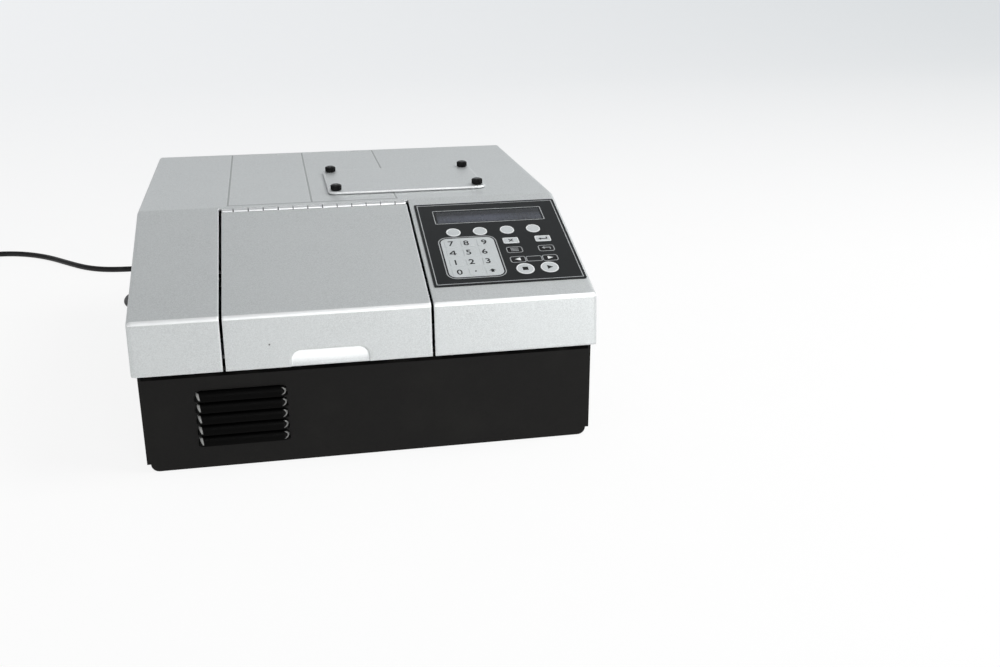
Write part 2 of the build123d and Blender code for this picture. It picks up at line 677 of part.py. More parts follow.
def fan_frame():
    low = BASE_REAR_Y - SHEET - FAN_DEEP
    high = BASE_REAR_Y - SHEET
    half = FAN_SIZE / 2
    frame = block((-half, half), (low, high), (-half, half))
    frame = fillet(frame.edges().filter_by(Axis.Y), 4)
    frame -= rod_y(0, 0, (low - 1, high + 1), FAN_BORE_R)
    for i in (-1, 1):
        for j in (-1, 1):
            frame -= rod_y(i * (half - 5), j * (half - 5), (low - 1, high + 1), 2.1)
    for i in range(4):
        frame += Rot(0, 45 + 90 * i, 0) * block((12, FAN_BORE_R + 1), (high - 2.5, high), (-1.5, 1.5))
    frame += rod_y(0, 0, (high - 2.5, high), FAN_HUB_R - 0.5)
    frame += rod_y(0, 0, (high - 15, high - 2), FAN_PIN_R)
    return Pos(FAN_X, 0, FAN_HEIGHT) * frame


def fan_rotor():
    """A hub with seven pitched blades, running on the stub shaft of the frame."""
    high = BASE_REAR_Y - SHEET - 2.5 - RUN_GAP
    low = high - 19
    rotor = rod_y(0, 0, (low, high), FAN_HUB_R)
    rotor = fillet(rotor.edges().sort_by(Axis.Y)[:1], 2)
    blade = Pos(0, (low + high) / 2, 0) * Rot(38, 0, 0) * block((12, 30), (-9, 9), (-0.7, 0.7))
    blade &= rod_y(0, 0, (low + 1, high - 1), FAN_BORE_R - 1.5)
    for i in range(FAN_BLADES):
        rotor += Rot(0, 360 / FAN_BLADES * i, 0) * blade
    rotor -= rod_y(0, 0, (high - 13, high + 1), FAN_PIN_R + SHAFT_CLEARANCE)
    return Pos(FAN_X, 0, FAN_HEIGHT) * rotor


def power_supply():
    """Open-frame supply: a board on spacers with its transformer, heat sink and capacitors."""
    x, y, z = SUPPLY_X, SUPPLY_Y, BOARD_HEIGHT
    board = block(x, y, (z, z + BOARD))
    for i in (x[0] + 5, x[1] - 5):
        for j in (y[0] + 5, y[1] - 5):
            board += rod_z(i, j, (FLOOR_TOP, z + 0.5), SPACER_R)
    board += block((-146, -112), (134, 168), (z + 1, z + 32))
    board += block((-149, -109), (142, 160), (z + 1, z + 24))
    for i in range(5):
        board += block((-104 + 4 * i, -102.6 + 4 * i), (128, 170), (z + 1, z + 26))
    board += block((-104, -86), (128, 170), (z + 1, z + 5))
    for j in (134, 150):
        board += rod_z(-75, j, (z + 1, z + 28), 6.5)
    return board


def main_board():
    """The controller board along the right side, on spacers, with its chips and connectors."""
    x, y, z = MAIN_BOARD_X, MAIN_BOARD_Y, BOARD_HEIGHT
    board = block(x, y, (z, z + BOARD))
    for i in (x[0] + 5, x[1] - 5):
        for j in (y[0] + 6, (y[0] + y[1]) / 2, y[1] - 6):
            board += rod_z(i, j, (FLOOR_TOP, z + 0.5), SPACER_R)
    top = (z + 1, z + 4.6)
    for j in (-150, -100, -50, 40, 90):
        board += block((122, 142), (j, j + 32), top)
    for j in (-140, -60, 20, 100):
        board += block((154, 166), (j, j + 44), (z + 1, z + 10))
    return board


# ---- plate transport ----
def y_rails():
    """Two ground rods in end brackets, with the motor's bracket in the middle of the rear pair."""
    front, rear = FRONT_BRACKET_Y, REAR_BRACKET_Y
    rails = None
    for x in RODS_X:
        rail = rod_y(x, ROD_HEIGHT, (front[0], rear[1]), ROD_R)
        for y in (front, rear):
            rail += block((x - BRACKET_HALF, x + BRACKET_HALF), y, (FLOOR_TOP, ROD_HEIGHT + 2 * ROD_R))
        rails = rail if rails is None else rails + rail
    half = MOTOR_SIZE / 2 + 3
    mount = block((DOOR_X - half, DOOR_X + half), rear, (FLOOR_TOP, SCREW_HEIGHT + MOTOR_SIZE / 2 + 1))
    mount -= rod_y(DOOR_X, SCREW_HEIGHT, (rear[0] - 1, rear[1] + 1), MOTOR_BOSS_R + 0.2)
    tail = block((DOOR_X - BRACKET_HALF, DOOR_X + BRACKET_HALF), front, (FLOOR_TOP, SCREW_HEIGHT + BRACKET_HALF))
    tail -= rod_y(DOOR_X, SCREW_HEIGHT, (front[0] - 1, front[1] + 1), SCREW_R + BUSH_CLEARANCE)
    return Compound(children=[*rails.solids(), *mount.solids(), *tail.solids()])


def motor(x, z, y, size, shaft_r, shaft_y):
    """A square stepper motor along y, with its round boss and shaft."""
    half = size / 2
    body = block((x - half, x + half), y, (z - half, z + half))
    body = chamfer(body.edges().filter_by(Axis.Y), size * 0.11)
    low, high = min(shaft_y[0], y[0]), max(shaft_y[1], y[1])
    return body + rod_y(x, z, (low, high), shaft_r)


def stepper_motors():
    """The y drive with its lead screw, and the two filter wheel drives on the deck."""
    drive = motor(DOOR_X, SCREW_HEIGHT, MOTOR_Y, MOTOR_SIZE, SCREW_R, (FRONT_BRACKET_Y[0] + 1, MOTOR_Y[1] - 6))
    drive += rod_y(DOOR_X, SCREW_HEIGHT, (REAR_BRACKET_Y[0] + 2, MOTOR_Y[0] + 1), MOTOR_BOSS_R)
    wheels = [
        motor(x, WHEEL_HEIGHT, (WHEEL_Y - 34, WHEEL_Y - 6), WHEEL_MOTOR, SHAFT_R, (WHEEL_Y - 30, WHEEL_Y + 4))
        for x in (EXCITATION_X, EMISSION_X)
    ]
    return Compound(children=[*drive.solids(), *wheels[0].solids(), *wheels[1].solids()])


def y_carriage():
    """The bridge on its two bushes, with the cross rail on top, the drive nut and cross motor below."""
    y = CARRIER_REST_Y
    long = (y - CARRIAGE_HALF, y + CARRIAGE_HALF)
    plate_z = (CARRIAGE_TOP - CARRIAGE_PLATE, CARRIAGE_TOP)
    bridge = block((RODS_X[0] - BUSH, RODS_X[1] + BUSH), long, plate_z)
    for x in RODS_X:
        bush = block((x - BUSH, x + BUSH), long, (ROD_HEIGHT - BUSH + 2, plate_z[1]))
        bush = chamfer(bush.edges().filter_by(Axis.Y).group_by(Axis.Z)[0], 3)
        bridge += bush
    for x in RODS_X:
        bridge -= rod_y(x, ROD_HEIGHT, (long[0] - 1, long[1] + 1), ROD_R + BUSH_CLEARANCE)
    rail_x = (RODS_X[0] + 3, RODS_X[1] - 3)
    bridge += block(rail_x, (y - RAIL_HALF, y + RAIL_HALF), (CARRIAGE_TOP, CARRIAGE_TOP + RAIL_TALL))
    nut = block((DOOR_X - NUT_HALF, DOOR_X + NUT_HALF), (y - 12, y + 12), (SCREW_HEIGHT - NUT_HALF, plate_z[0] + 0.5))
    nut -= rod_y(DOOR_X, SCREW_HEIGHT, (y - 13, y + 13), SCREW_R + BUSH_CLEARANCE)
    drive = block((38, 66), (y - 14, y + 14), (plate_z[0] - 30, plate_z[0] + 0.5))
    drive = chamfer(drive.edges().filter_by(Axis.Z), 3)
    return bridge + nut + drive


def plate_carrier():
    """The tray: a nest for one plate with cut-away corners and sides, on a shoe that runs on the cross rail."""
    y = CARRIER_REST_Y
    half_x = (PLATE[0] + PLATE_CLEARANCE) / 2
    half_y = (PLATE[1] + PLATE_CLEARANCE) / 2
    low = NEST_FLOOR_HEIGHT - 2
    tray = Pos(DOOR_X, y, low) * extrude(
        RectangleRounded(2 * (half_x + NEST_WALL), 2 * (half_y + NEST_WALL), NEST_CORNER_R), NEST_DEPTH + 2
    )
    tray -= block((DOOR_X - half_x, DOOR_X + half_x), (y - half_y, y + half_y), (NEST_FLOOR_HEIGHT, 120))
    window = Pos(DOOR_X, y, low - 1) * extrude(RectangleRounded(2 * half_x - 14, 2 * half_y - 14, 4), 5)
    shoe_y = (y - RAIL_HALF - 6, y + RAIL_HALF + 6)
    web = block((DOOR_X - half_x + 4, DOOR_X + half_x - 4), shoe_y, (low, NEST_FLOOR_HEIGHT))
    tray = tray - window + web
    # Fingers lift the plate by its ends and by the front.
    tray -= block((DOOR_X - 90, DOOR_X + 90), (y - 16, y + 16), (NEST_FLOOR_HEIGHT, 120))
    tray -= block((DOOR_X - 26, DOOR_X + 26), (y - 60, y), (NEST_FLOOR_HEIGHT, 120))
    shoe = block((DOOR_X - SHOE_HALF, DOOR_X + SHOE_HALF), shoe_y, (CARRIAGE_TOP + RUN_GAP, low + 0.5))
    slot = block(
        (DOOR_X - SHOE_HALF - 1, DOOR_X + SHOE_HALF + 1),
        (y - RAIL_HALF - BUSH_CLEARANCE, y + RAIL_HALF + BUSH_CLEARANCE),
        (CARRIAGE_TOP - 1, CARRIAGE_TOP + RAIL_TALL + BUSH_CLEARANCE),
    )
    return tray + (shoe - slot)


# ---- optics ----
def optics_deck():
    """The deck on four posts, with the probe head and one light guide from each filter wheel."""
    deck = block((POSTS_X[0] - 7, POSTS_X[1] + 7), (POSTS_Y[0] - 9, DECK_REAR_Y), (DECK_HEIGHT, DECK_TOP))
    deck = fillet(deck.edges().filter_by(Axis.Z), 6)
    for x in POSTS_X:
        for y in POSTS_Y:
            deck += rod_z(x, y, (FLOOR_TOP, DECK_HEIGHT + 1), POST_R)
    wide, deep, tall = HEAD
    head = block(
        (PROBE_X - wide / 2, PROBE_X + wide / 2), (PROBE_Y - deep / 2, PROBE_Y + deep / 2), (DECK_TOP - 0.5, DECK_TOP + tall)
    )
    head = chamfer(head.edges().filter_by(Axis.Z), 4)
    tip = rod_z(PROBE_X, PROBE_Y, (NEST_FLOOR_HEIGHT + PLATE[2] + 1.6, DECK_HEIGHT + 1), PROBE_TIP_R)
    deck += head + tip
    for side in (-1, 1):
        x = PROBE_X + side * BEAM_OFFSET
        guide = rod_y(x, WHEEL_HEIGHT, (PROBE_Y + 10, WHEEL_Y - 4), WHEEL_HOLE_R)
        foot = block((x - 3, x + 3), (WHEEL_Y - 16, WHEEL_Y - 6), (DECK_TOP - 0.5, WHEEL_HEIGHT))
        deck += guide + foot
    for x in (EXCITATION_X, EMISSION_X):
        cradle_top = WHEEL_HEIGHT - WHEEL_MOTOR / 2 - SEAT_GAP
        deck += block((x - 10, x + 10), (WHEEL_Y - 32, WHEEL_Y - 8), (DECK_TOP - 0.5, cradle_top))
    return deck


def filter_wheel(x):
    wheel = rod_y(x, WHEEL_HEIGHT, (WHEEL_Y - WHEEL / 2, WHEEL_Y + WHEEL / 2), WHEEL_R)
    wheel = chamfer(wheel.edges(), 0.5)
    wheel += rod_y(x, WHEEL_HEIGHT, (WHEEL_Y - WHEEL / 2, WHEEL_Y + WHEEL / 2 + 3), 8)
    for i in range(WHEEL_HOLES):
        angle = math.radians(360 / WHEEL_HOLES * i)
        across, up = WHEEL_HOLE_CIRCLE * math.cos(angle), WHEEL_HOLE_CIRCLE * math.sin(angle)
        wheel -= rod_y(x + across, WHEEL_HEIGHT + up, (WHEEL_Y - 9, WHEEL_Y + 9), WHEEL_HOLE_R)
    return wheel - rod_y(x, WHEEL_HEIGHT, (WHEEL_Y - 9, WHEEL_Y + 9), SHAFT_R + SHAFT_CLEARANCE)


def lamp_house():
    """An open-topped metal box with cooling fins down one side and the lens barrel in front."""
    x, y = LAMP_BOX
    beam_x = PROBE_X - BEAM_OFFSET
    house = block(x, y, (DECK_TOP, LAMP_TOP))
    house -= block(
        (x[0] + LAMP_WALL, x[1] - LAMP_WALL), (y[0] + LAMP_WALL, y[1] - LAMP_WALL), (DECK_TOP + LAMP_WALL, LAMP_TOP + 1)
    )
    for i in range(FINS):
        fin_y = y[0] + FIN_REACH + FIN_PITCH * i
        house += block((x[0] - FIN_REACH, x[0] + 1), (fin_y, fin_y + 2), (DECK_TOP, LAMP_TOP - 4))
    house += rod_y(beam_x, WHEEL_HEIGHT, (WHEEL_Y + WHEEL / 2 + BARREL_GAP, y[0] + 12), BARREL_R)
    house -= rod_y(beam_x, WHEEL_HEIGHT, (WHEEL_Y, y[0] + 20), WHEEL_HOLE_R)
    socket = block(
        (beam_x - 9, beam_x + 9), (LAMP_Y - 9, LAMP_Y + 9), (DECK_TOP + LAMP_WALL - 0.5, WHEEL_HEIGHT - LAMP_SEAT_DROP)
    )
    return house + socket


def lamp_bulb():
    """A capsule halogen lamp standing in its socket."""
    x, y = PROBE_X - BEAM_OFFSET, LAMP_Y
    base = WHEEL_HEIGHT - LAMP_SEAT_DROP
    capsule = rod_z(x, y, (base + 8, base + 26), CAPSULE_R)
    capsule = fillet(capsule.edges().sort_by(Axis.Z)[-1:], CAPSULE_R - 0.5)
    return block((x - 6, x + 6), (y - 3.5, y + 3.5), (base, base + 8.5)) + capsule


def detector():
    """The photomultiplier in its light-tight tube on a saddle, with its lens barrel and base."""
    x = PROBE_X + BEAM_OFFSET
    tube = rod_y(x, WHEEL_HEIGHT, (113, 176), TUBE_R) + rod_y(x, WHEEL_HEIGHT, (175, 196), TUBE_BASE_R)
    tube += rod_y(x, WHEEL_HEIGHT, (WHEEL_Y + WHEEL / 2 + BARREL_GAP, 114), BARREL_R)
    return tube + block((x - 16, x + 16), (118, 190), (DECK_TOP, WHEEL_HEIGHT))


# ---- mains lead: its connector, the free stretch, the stored coil and the plug ----
LEAD_EXIT = (INLET_X, BASE_REAR_Y + 60, INLET_HEIGHT)
ON_BENCH = CORD_R
LEAD_ROUTE = [
    LEAD_EXIT,
    (-66, 280, 40),
    (-66.5, 301, 35.5),
    (-77, 321, 27),
    (-97, 332, 17),
    (-119, 332, 9),
    (-139, 321, 5),
    (-150.5, 301, ON_BENCH),
    (-166.2, 262.6, ON_BENCH),
    (-183.2, 233.2, ON_BENCH),
    (-202.7, 222, ON_BENCH),
    (-225.3, 222, ON_BENCH),
    (-244.8, 233.2, ON_BENCH),
    (-256, 252.7, ON_BENCH),
    (-256, 275.3, ON_BENCH),
    (-242, 298, ON_BENCH),
    (-224.5, 324.1, ON_BENCH),
    (-208, 352.7, ON_BENCH),
    (-208, 375.3, ON_BENCH),
    (-219.2, 394.8, ON_BENCH),
    (-238.7, 406, ON_BENCH),
    (-270, 405.5, ON_BENCH),
    (-296, 409, ON_BENCH),
    (-318, 424, ON_BENCH),
    (-345, 453, ON_BENCH),
    (-373, 487, ON_BENCH),
    (-400, 508, ON_BENCH),
    (-425, 517, ON_BENCH),
    (-449, 515, ON_BENCH),
    (-478, 500, ON_BENCH),
    (-503, 489.8, ON_BENCH),
]
COIL_CENTRE = (-520.0, 532.0)
COIL_OUTER_R = 52.0
COIL_INNER_R = 23.0
COIL_HEIGHT = 14.2
TAIL_ROUTE = [(-564, 534, 10.5), (-568, 554, 9.5), (-571, 574, 9), (-571, 592, 9)]


def lead_tube(points, name):
    """Straight runs joined by the largest tangent arcs that fit."""
    spots = [Vector(*p) for p in points]
    runs = [b - a for a, b in zip(spots, spots[1:])]
    radii = []
    for a, b in zip(runs, runs[1:]):
        turn = math.radians(a.get_angle(b))
        radii.append(0.45 * min(a.length, b.length) / math.tan(turn / 2))
    path = FilletPolyline(*spots, radius=radii)
    tube = sweep(Plane(origin=spots[0], z_dir=runs[0]) * Circle(CORD_R), path=path)
    area = math.pi * CORD_R**2
    print(name, "tightest radius", round(min(radii), 1), "length", round(path.length, 1))
    print(name, "volume", round(tube.volume), "against", round(area * path.length))
    return tube


def cord_connector():
    """The rewirable end of the lead: nose with three slots in the inlet, grip and tapered strain relief."""
    grip_start = BASE_REAR_Y + BEZEL_FLANGE + RUN_GAP
    nose_y = (BASE_REAR_Y - 13, grip_start + 0.5)
    nose = block((INLET_X - 12, INLET_X + 12), nose_y, (INLET_HEIGHT - 8, INLET_HEIGHT + 8))
    nose = fillet(nose.edges().filter_by(Axis.Y).group_by(Axis.Z)[-1], 3.6)
    for x, z in blades():
        nose -= block((x - 1.4, x + 1.4), (nose_y[0] - 1, BASE_REAR_Y - 1), (z - 2.4, z + 2.4))
    grip = block(
        (INLET_X - 14, INLET_X + 14),
        (grip_start, BASE_REAR_Y + 34),
        (INLET_HEIGHT - 10, INLET_HEIGHT + 10),
    )
    grip = fillet(grip.edges().filter_by(Axis.Y), 4)
    grip = chamfer(grip.faces().sort_by(Axis.Y)[-1].edges(), 3)
    relief = Pos(INLET_X, BASE_REAR_Y + 46.5, INLET_HEIGHT) * Rot(-90, 0, 0) * Cone(6.5, CORD_R + 0.6, 27)
    return nose + grip + relief


def mains_cord():
    lead = lead_tube(LEAD_ROUTE, "lead")
    tail = lead_tube(TAIL_ROUTE, "tail")
    return Compound(children=[*lead.solids(), *tail.solids()])


def cord_coil():
    """The outer shape of the coil that the rest of the lead is wound into."""
    ring = Cylinder(COIL_OUTER_R, COIL_HEIGHT) - Cylinder(COIL_INNER_R, COIL_HEIGHT + 1)
    ring = fillet(ring.edges(), 3)
    return Pos(*COIL_CENTRE, COIL_HEIGHT / 2) * ring


def mains_plug():
    """A moulded plug lying on its side beside the coil, with two blades and a round earth pin."""
    x, y, z = TAIL_ROUTE[-1]
    relief = Pos(x, y + 13, z) * Rot(-90, 0, 0) * Cone(CORD_R + 0.6, 6.0, 26)
    grip = block((x - 12.5, x + 12.5), (y + 24, y + 50), (0, 18))
    grip = fillet(grip.edges().filter_by(Axis.Y), 5)
    grip = chamfer(grip.faces().sort_by(Axis.Y)[0].edges(), 3)
    plug = relief + Pos(0, 0, z - 9) * grip
    for side in (-1, 1):
        plug += block((x + side * 6.3 - 0.8, x + side * 6.3 + 0.8), (y + 49, y + 67), (z - 1, z + 5.3))
    return plug + rod_y(x, z - 4.5, (y + 49, y + 69), 2.4)


save("top_cover", top_cover())
save("top_panel_left", top_panel(SEAM_LEFT, SEAM_MIDDLE))
save("top_panel_right", top_panel(SEAM_MIDDLE, SEAM_RIGHT))
save("probe_plate", probe_plate())
save("thumbscrews", thumbscrews())
save("hinge_frame_leaf", hinge_frame_leaf())
save("door_hinge_leaf", door_hinge_leaf())
save("hinge_pin", hinge_pin())
save("door_skin", door_skin())
save("keypad_overlay", keypad_overlay())
save("display_window", display_window())
for key_name, key_shape in key_outlines().items():
    save(key_name, key_pad(key_shape))
save("base_pan", base_pan())
save("front_panel", front_panel())
save("rear_panel", rear_panel())
save("rubber_feet", rubber_feet())
save("power_inlet", power_inlet())
save("power_rocker", power_rocker())
save("data_ports", data_ports())
save("fan_frame", fan_frame())
save("fan_rotor", fan_rotor())
save("power_supply", power_supply())
save("main_board", main_board())
save("y_rails", y_rails())
save("stepper_motors", stepper_motors())
save("y_carriage", y_carriage())
save("plate_carrier", plate_carrier())
save("optics_deck", optics_deck())
save("excitation_wheel", filter_wheel(EXCITATION_X))
save("emission_wheel", filter_wheel(EMISSION_X))
save("lamp_house", lamp_house())
save("lamp_bulb", lamp_bulb())
save("detector", detector())
save("cord_connector", cord_connector())
save("mains_cord", mains_cord())
save("cord_coil", cord_coil())
save("mains_plug", mains_plug())
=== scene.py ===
"""Looks for the bench microplate reader: camera, mains lead, finishes, legends and light."""
import json
import math

import bmesh
import bpy
from mathutils import Matrix, Vector


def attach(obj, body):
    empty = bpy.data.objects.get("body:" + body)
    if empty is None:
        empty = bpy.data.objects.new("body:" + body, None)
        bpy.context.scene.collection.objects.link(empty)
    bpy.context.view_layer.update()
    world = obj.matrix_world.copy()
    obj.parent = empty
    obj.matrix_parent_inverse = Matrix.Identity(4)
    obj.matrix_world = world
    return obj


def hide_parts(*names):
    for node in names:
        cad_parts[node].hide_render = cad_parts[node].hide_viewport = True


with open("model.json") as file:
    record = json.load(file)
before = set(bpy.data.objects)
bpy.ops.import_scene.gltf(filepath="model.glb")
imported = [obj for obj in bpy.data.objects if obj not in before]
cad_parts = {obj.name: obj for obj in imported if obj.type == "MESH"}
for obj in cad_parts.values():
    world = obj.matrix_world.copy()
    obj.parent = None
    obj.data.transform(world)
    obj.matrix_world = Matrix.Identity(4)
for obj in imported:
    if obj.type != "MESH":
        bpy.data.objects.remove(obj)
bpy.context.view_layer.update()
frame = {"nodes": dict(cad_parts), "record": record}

MM = 0.001
IMAGE_WIDTH = 1000.0
SENSOR = 36.0


def new_object(name, data):
    """An object in the scene."""
    made = bpy.data.objects.new(name, data)
    bpy.context.scene.collection.objects.link(made)
    return made


# ---- the camera ----
FOCAL_PIXELS = 1119.52
CAMERA_PLACE = (-0.070777, -1.066333, 0.417870)
CAMERA_TURN = (1.22463728, 0.00050421, -0.20357386)


def make_camera():
    """The one camera, with its lens given as a focal length in pixels."""
    data = bpy.data.cameras.new("camera")
    data.sensor_width = SENSOR
    data.sensor_fit = "HORIZONTAL"
    data.lens = FOCAL_PIXELS * SENSOR / IMAGE_WIDTH
    data.clip_start = 0.01
    camera = new_object("camera", data)
    camera.location = CAMERA_PLACE
    camera.rotation_euler = CAMERA_TURN
    bpy.context.scene.camera = camera


make_camera()

# ---- the mains lead, in millimetres: the CAD's route, its seen stretch moved by up to 10 mm ----
CORD_DIAMETER = 7.0
BENCH = 3.5
LEAD_EXIT = (-66, 261.5, 40)
LEAD_ROUTE = [
    LEAD_EXIT, (-66, 280, 40), (-66.5, 301, 35.5), (-77, 321, 27), (-97, 332, 17), (-119, 332, 9),
    (-139, 321, 5), (-150.5, 301, BENCH), (-166.2, 262.6, BENCH), (-181, 233.2, BENCH),
    (-198, 222, BENCH), (-219.3, 222, BENCH), (-238.3, 233.2, BENCH), (-249.3, 252.7, BENCH),
    (-249.3, 275.3, BENCH), (-238, 298, BENCH), (-224.5, 324.1, BENCH), (-208, 352.7, BENCH),
    (-208, 372.3, BENCH), (-219.2, 390.3, BENCH), (-238.7, 399, BENCH), (-266, 398.5, BENCH),
    (-293, 403, BENCH), (-317, 417, BENCH), (-343, 445, BENCH), (-371, 477, BENCH),
    (-399, 498, BENCH), (-425, 508, BENCH), (-449, 509, BENCH), (-478, 500, BENCH),
]
TAIL_ROUTE = [(-564, 534, 10.6), (-568, 554, 9.5), (-571, 574, 9), (-571, 592, 9)]
COIL_CENTRE = (-520.0, 532.0)
COIL_START_ANGLE = math.radians(-68)
COIL_STEPS = 16  # points in each turn
LOWER_TURNS = 3.0
UPPER_TURNS = 2.0 + 112 / 360  # ends on the coil's left side
CLIMB_TURNS = 0.25
LOWER_RADII = (46.6, 25.2)
UPPER_RADII = (25.2, 44.0)
UPPER_HEIGHT = 10.6


def part_way(share, pair):
    """A number that goes from the first of a pair to the second."""
    return pair[0] + share * (pair[1] - pair[0])


def coil_points():
    """Three turns in along the bench, a quarter turn up, then two and a bit turns out on top."""
    points = []
    lower_steps = round(LOWER_TURNS * COIL_STEPS)
    upper_steps = round(UPPER_TURNS * COIL_STEPS)
    climb_steps = round(CLIMB_TURNS * COIL_STEPS)
    for step in range(lower_steps + upper_steps):
        angle = COIL_START_ANGLE - 2 * math.pi * step / COIL_STEPS
        if step <= lower_steps:
            radius = part_way(step / lower_steps, LOWER_RADII)
            height = BENCH
        else:
            above = step - lower_steps
            share = max(0.0, (above - climb_steps) / (upper_steps - climb_steps))
            radius = part_way(share, UPPER_RADII)
            height = part_way(min(1.0, above / climb_steps), (BENCH, UPPER_HEIGHT))
        across = COIL_CENTRE[0] + radius * math.cos(angle)
        points.append((across, COIL_CENTRE[1] + radius * math.sin(angle), height))
    return points


def smooth_curve(name, points, thickness):
    """An open NURBS spline through the neighbourhood of the points, as a round tube."""
    data = bpy.data.curves.new(name, "CURVE")
    data.dimensions = "3D"
    spline = data.splines.new("NURBS")
    spline.points.add(len(points) - 1)
    for place, point in zip(spline.points, points):
        place.co = (*point, 1.0)
        place.radius = thickness / 2  # the curve's box grows by this, so it isn't left at 1
    spline.order_u = 3
    spline.use_endpoint_u = True
    spline.resolution_u = 10
    data.bevel_depth = 1.0
    data.bevel_resolution = 6
    data.use_fill_caps = True
    return new_object(name, data)


def make_cord():
    """The mains lead as one smooth tube, in place of its CAD pieces."""
    route = LEAD_ROUTE + coil_points() + TAIL_ROUTE
    points = [[MM * value for value in point] for point in route]
    cord = smooth_curve("mains_cord_line", points, CORD_DIAMETER * MM)
    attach(cord, "case")
    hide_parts("mains_cord", "cord_coil")
    return cord


cord = make_cord()


# ---- short ways to build a node finish ----
def colour(red, green, blue):
    """A display colour, 0 to 255 each, as the linear one that a shader takes."""
    values = []
    for value in (red / 255, green / 255, blue / 255):
        values.append(value / 12.92 if value <= 0.04045 else ((value + 0.055) / 1.055) ** 2.4)
    return (*values, 1.0)


def shade(base, factor):
    """A colour made lighter or darker by a factor."""
    return (*(min(1.0, value * factor) for value in base[:3]), 1.0)


class Nodes:
    """The node tree of a material or a world, in the making."""

    def __init__(self, owner):
        owner.use_nodes = True
        self.tree = owner.node_tree
        self.tree.nodes.clear()

    def add(self, kind, **settings):
        node = self.tree.nodes.new("ShaderNode" + kind)
        for key, value in settings.items():
            setattr(node, key, value)
        return node

    def put(self, socket, value):
        """Links a socket, or gives it a constant."""
        if isinstance(value, bpy.types.NodeSocket):
            self.tree.links.new(value, socket)
        else:
            socket.default_value = value

    def put_all(self, node, values):
        """Fills a node's inputs in order, and gives its first output."""
        for socket, value in zip(node.inputs, values):
            self.put(socket, value)
        return node.outputs[0]

    def between(self, value, low, high, out_low=0.0, out_high=1.0):
        return self.put_all(self.add("MapRange"), (value, low, high, out_low, out_high))

    def maths(self, operation, a, b=0.0, c=0.0):
        return self.put_all(self.add("Math", operation=operation), (a, b, c))

    def fade(self, share, first, second):
        """One shader faded into another."""
        return self.put_all(self.add("MixShader"), (share, first, second))


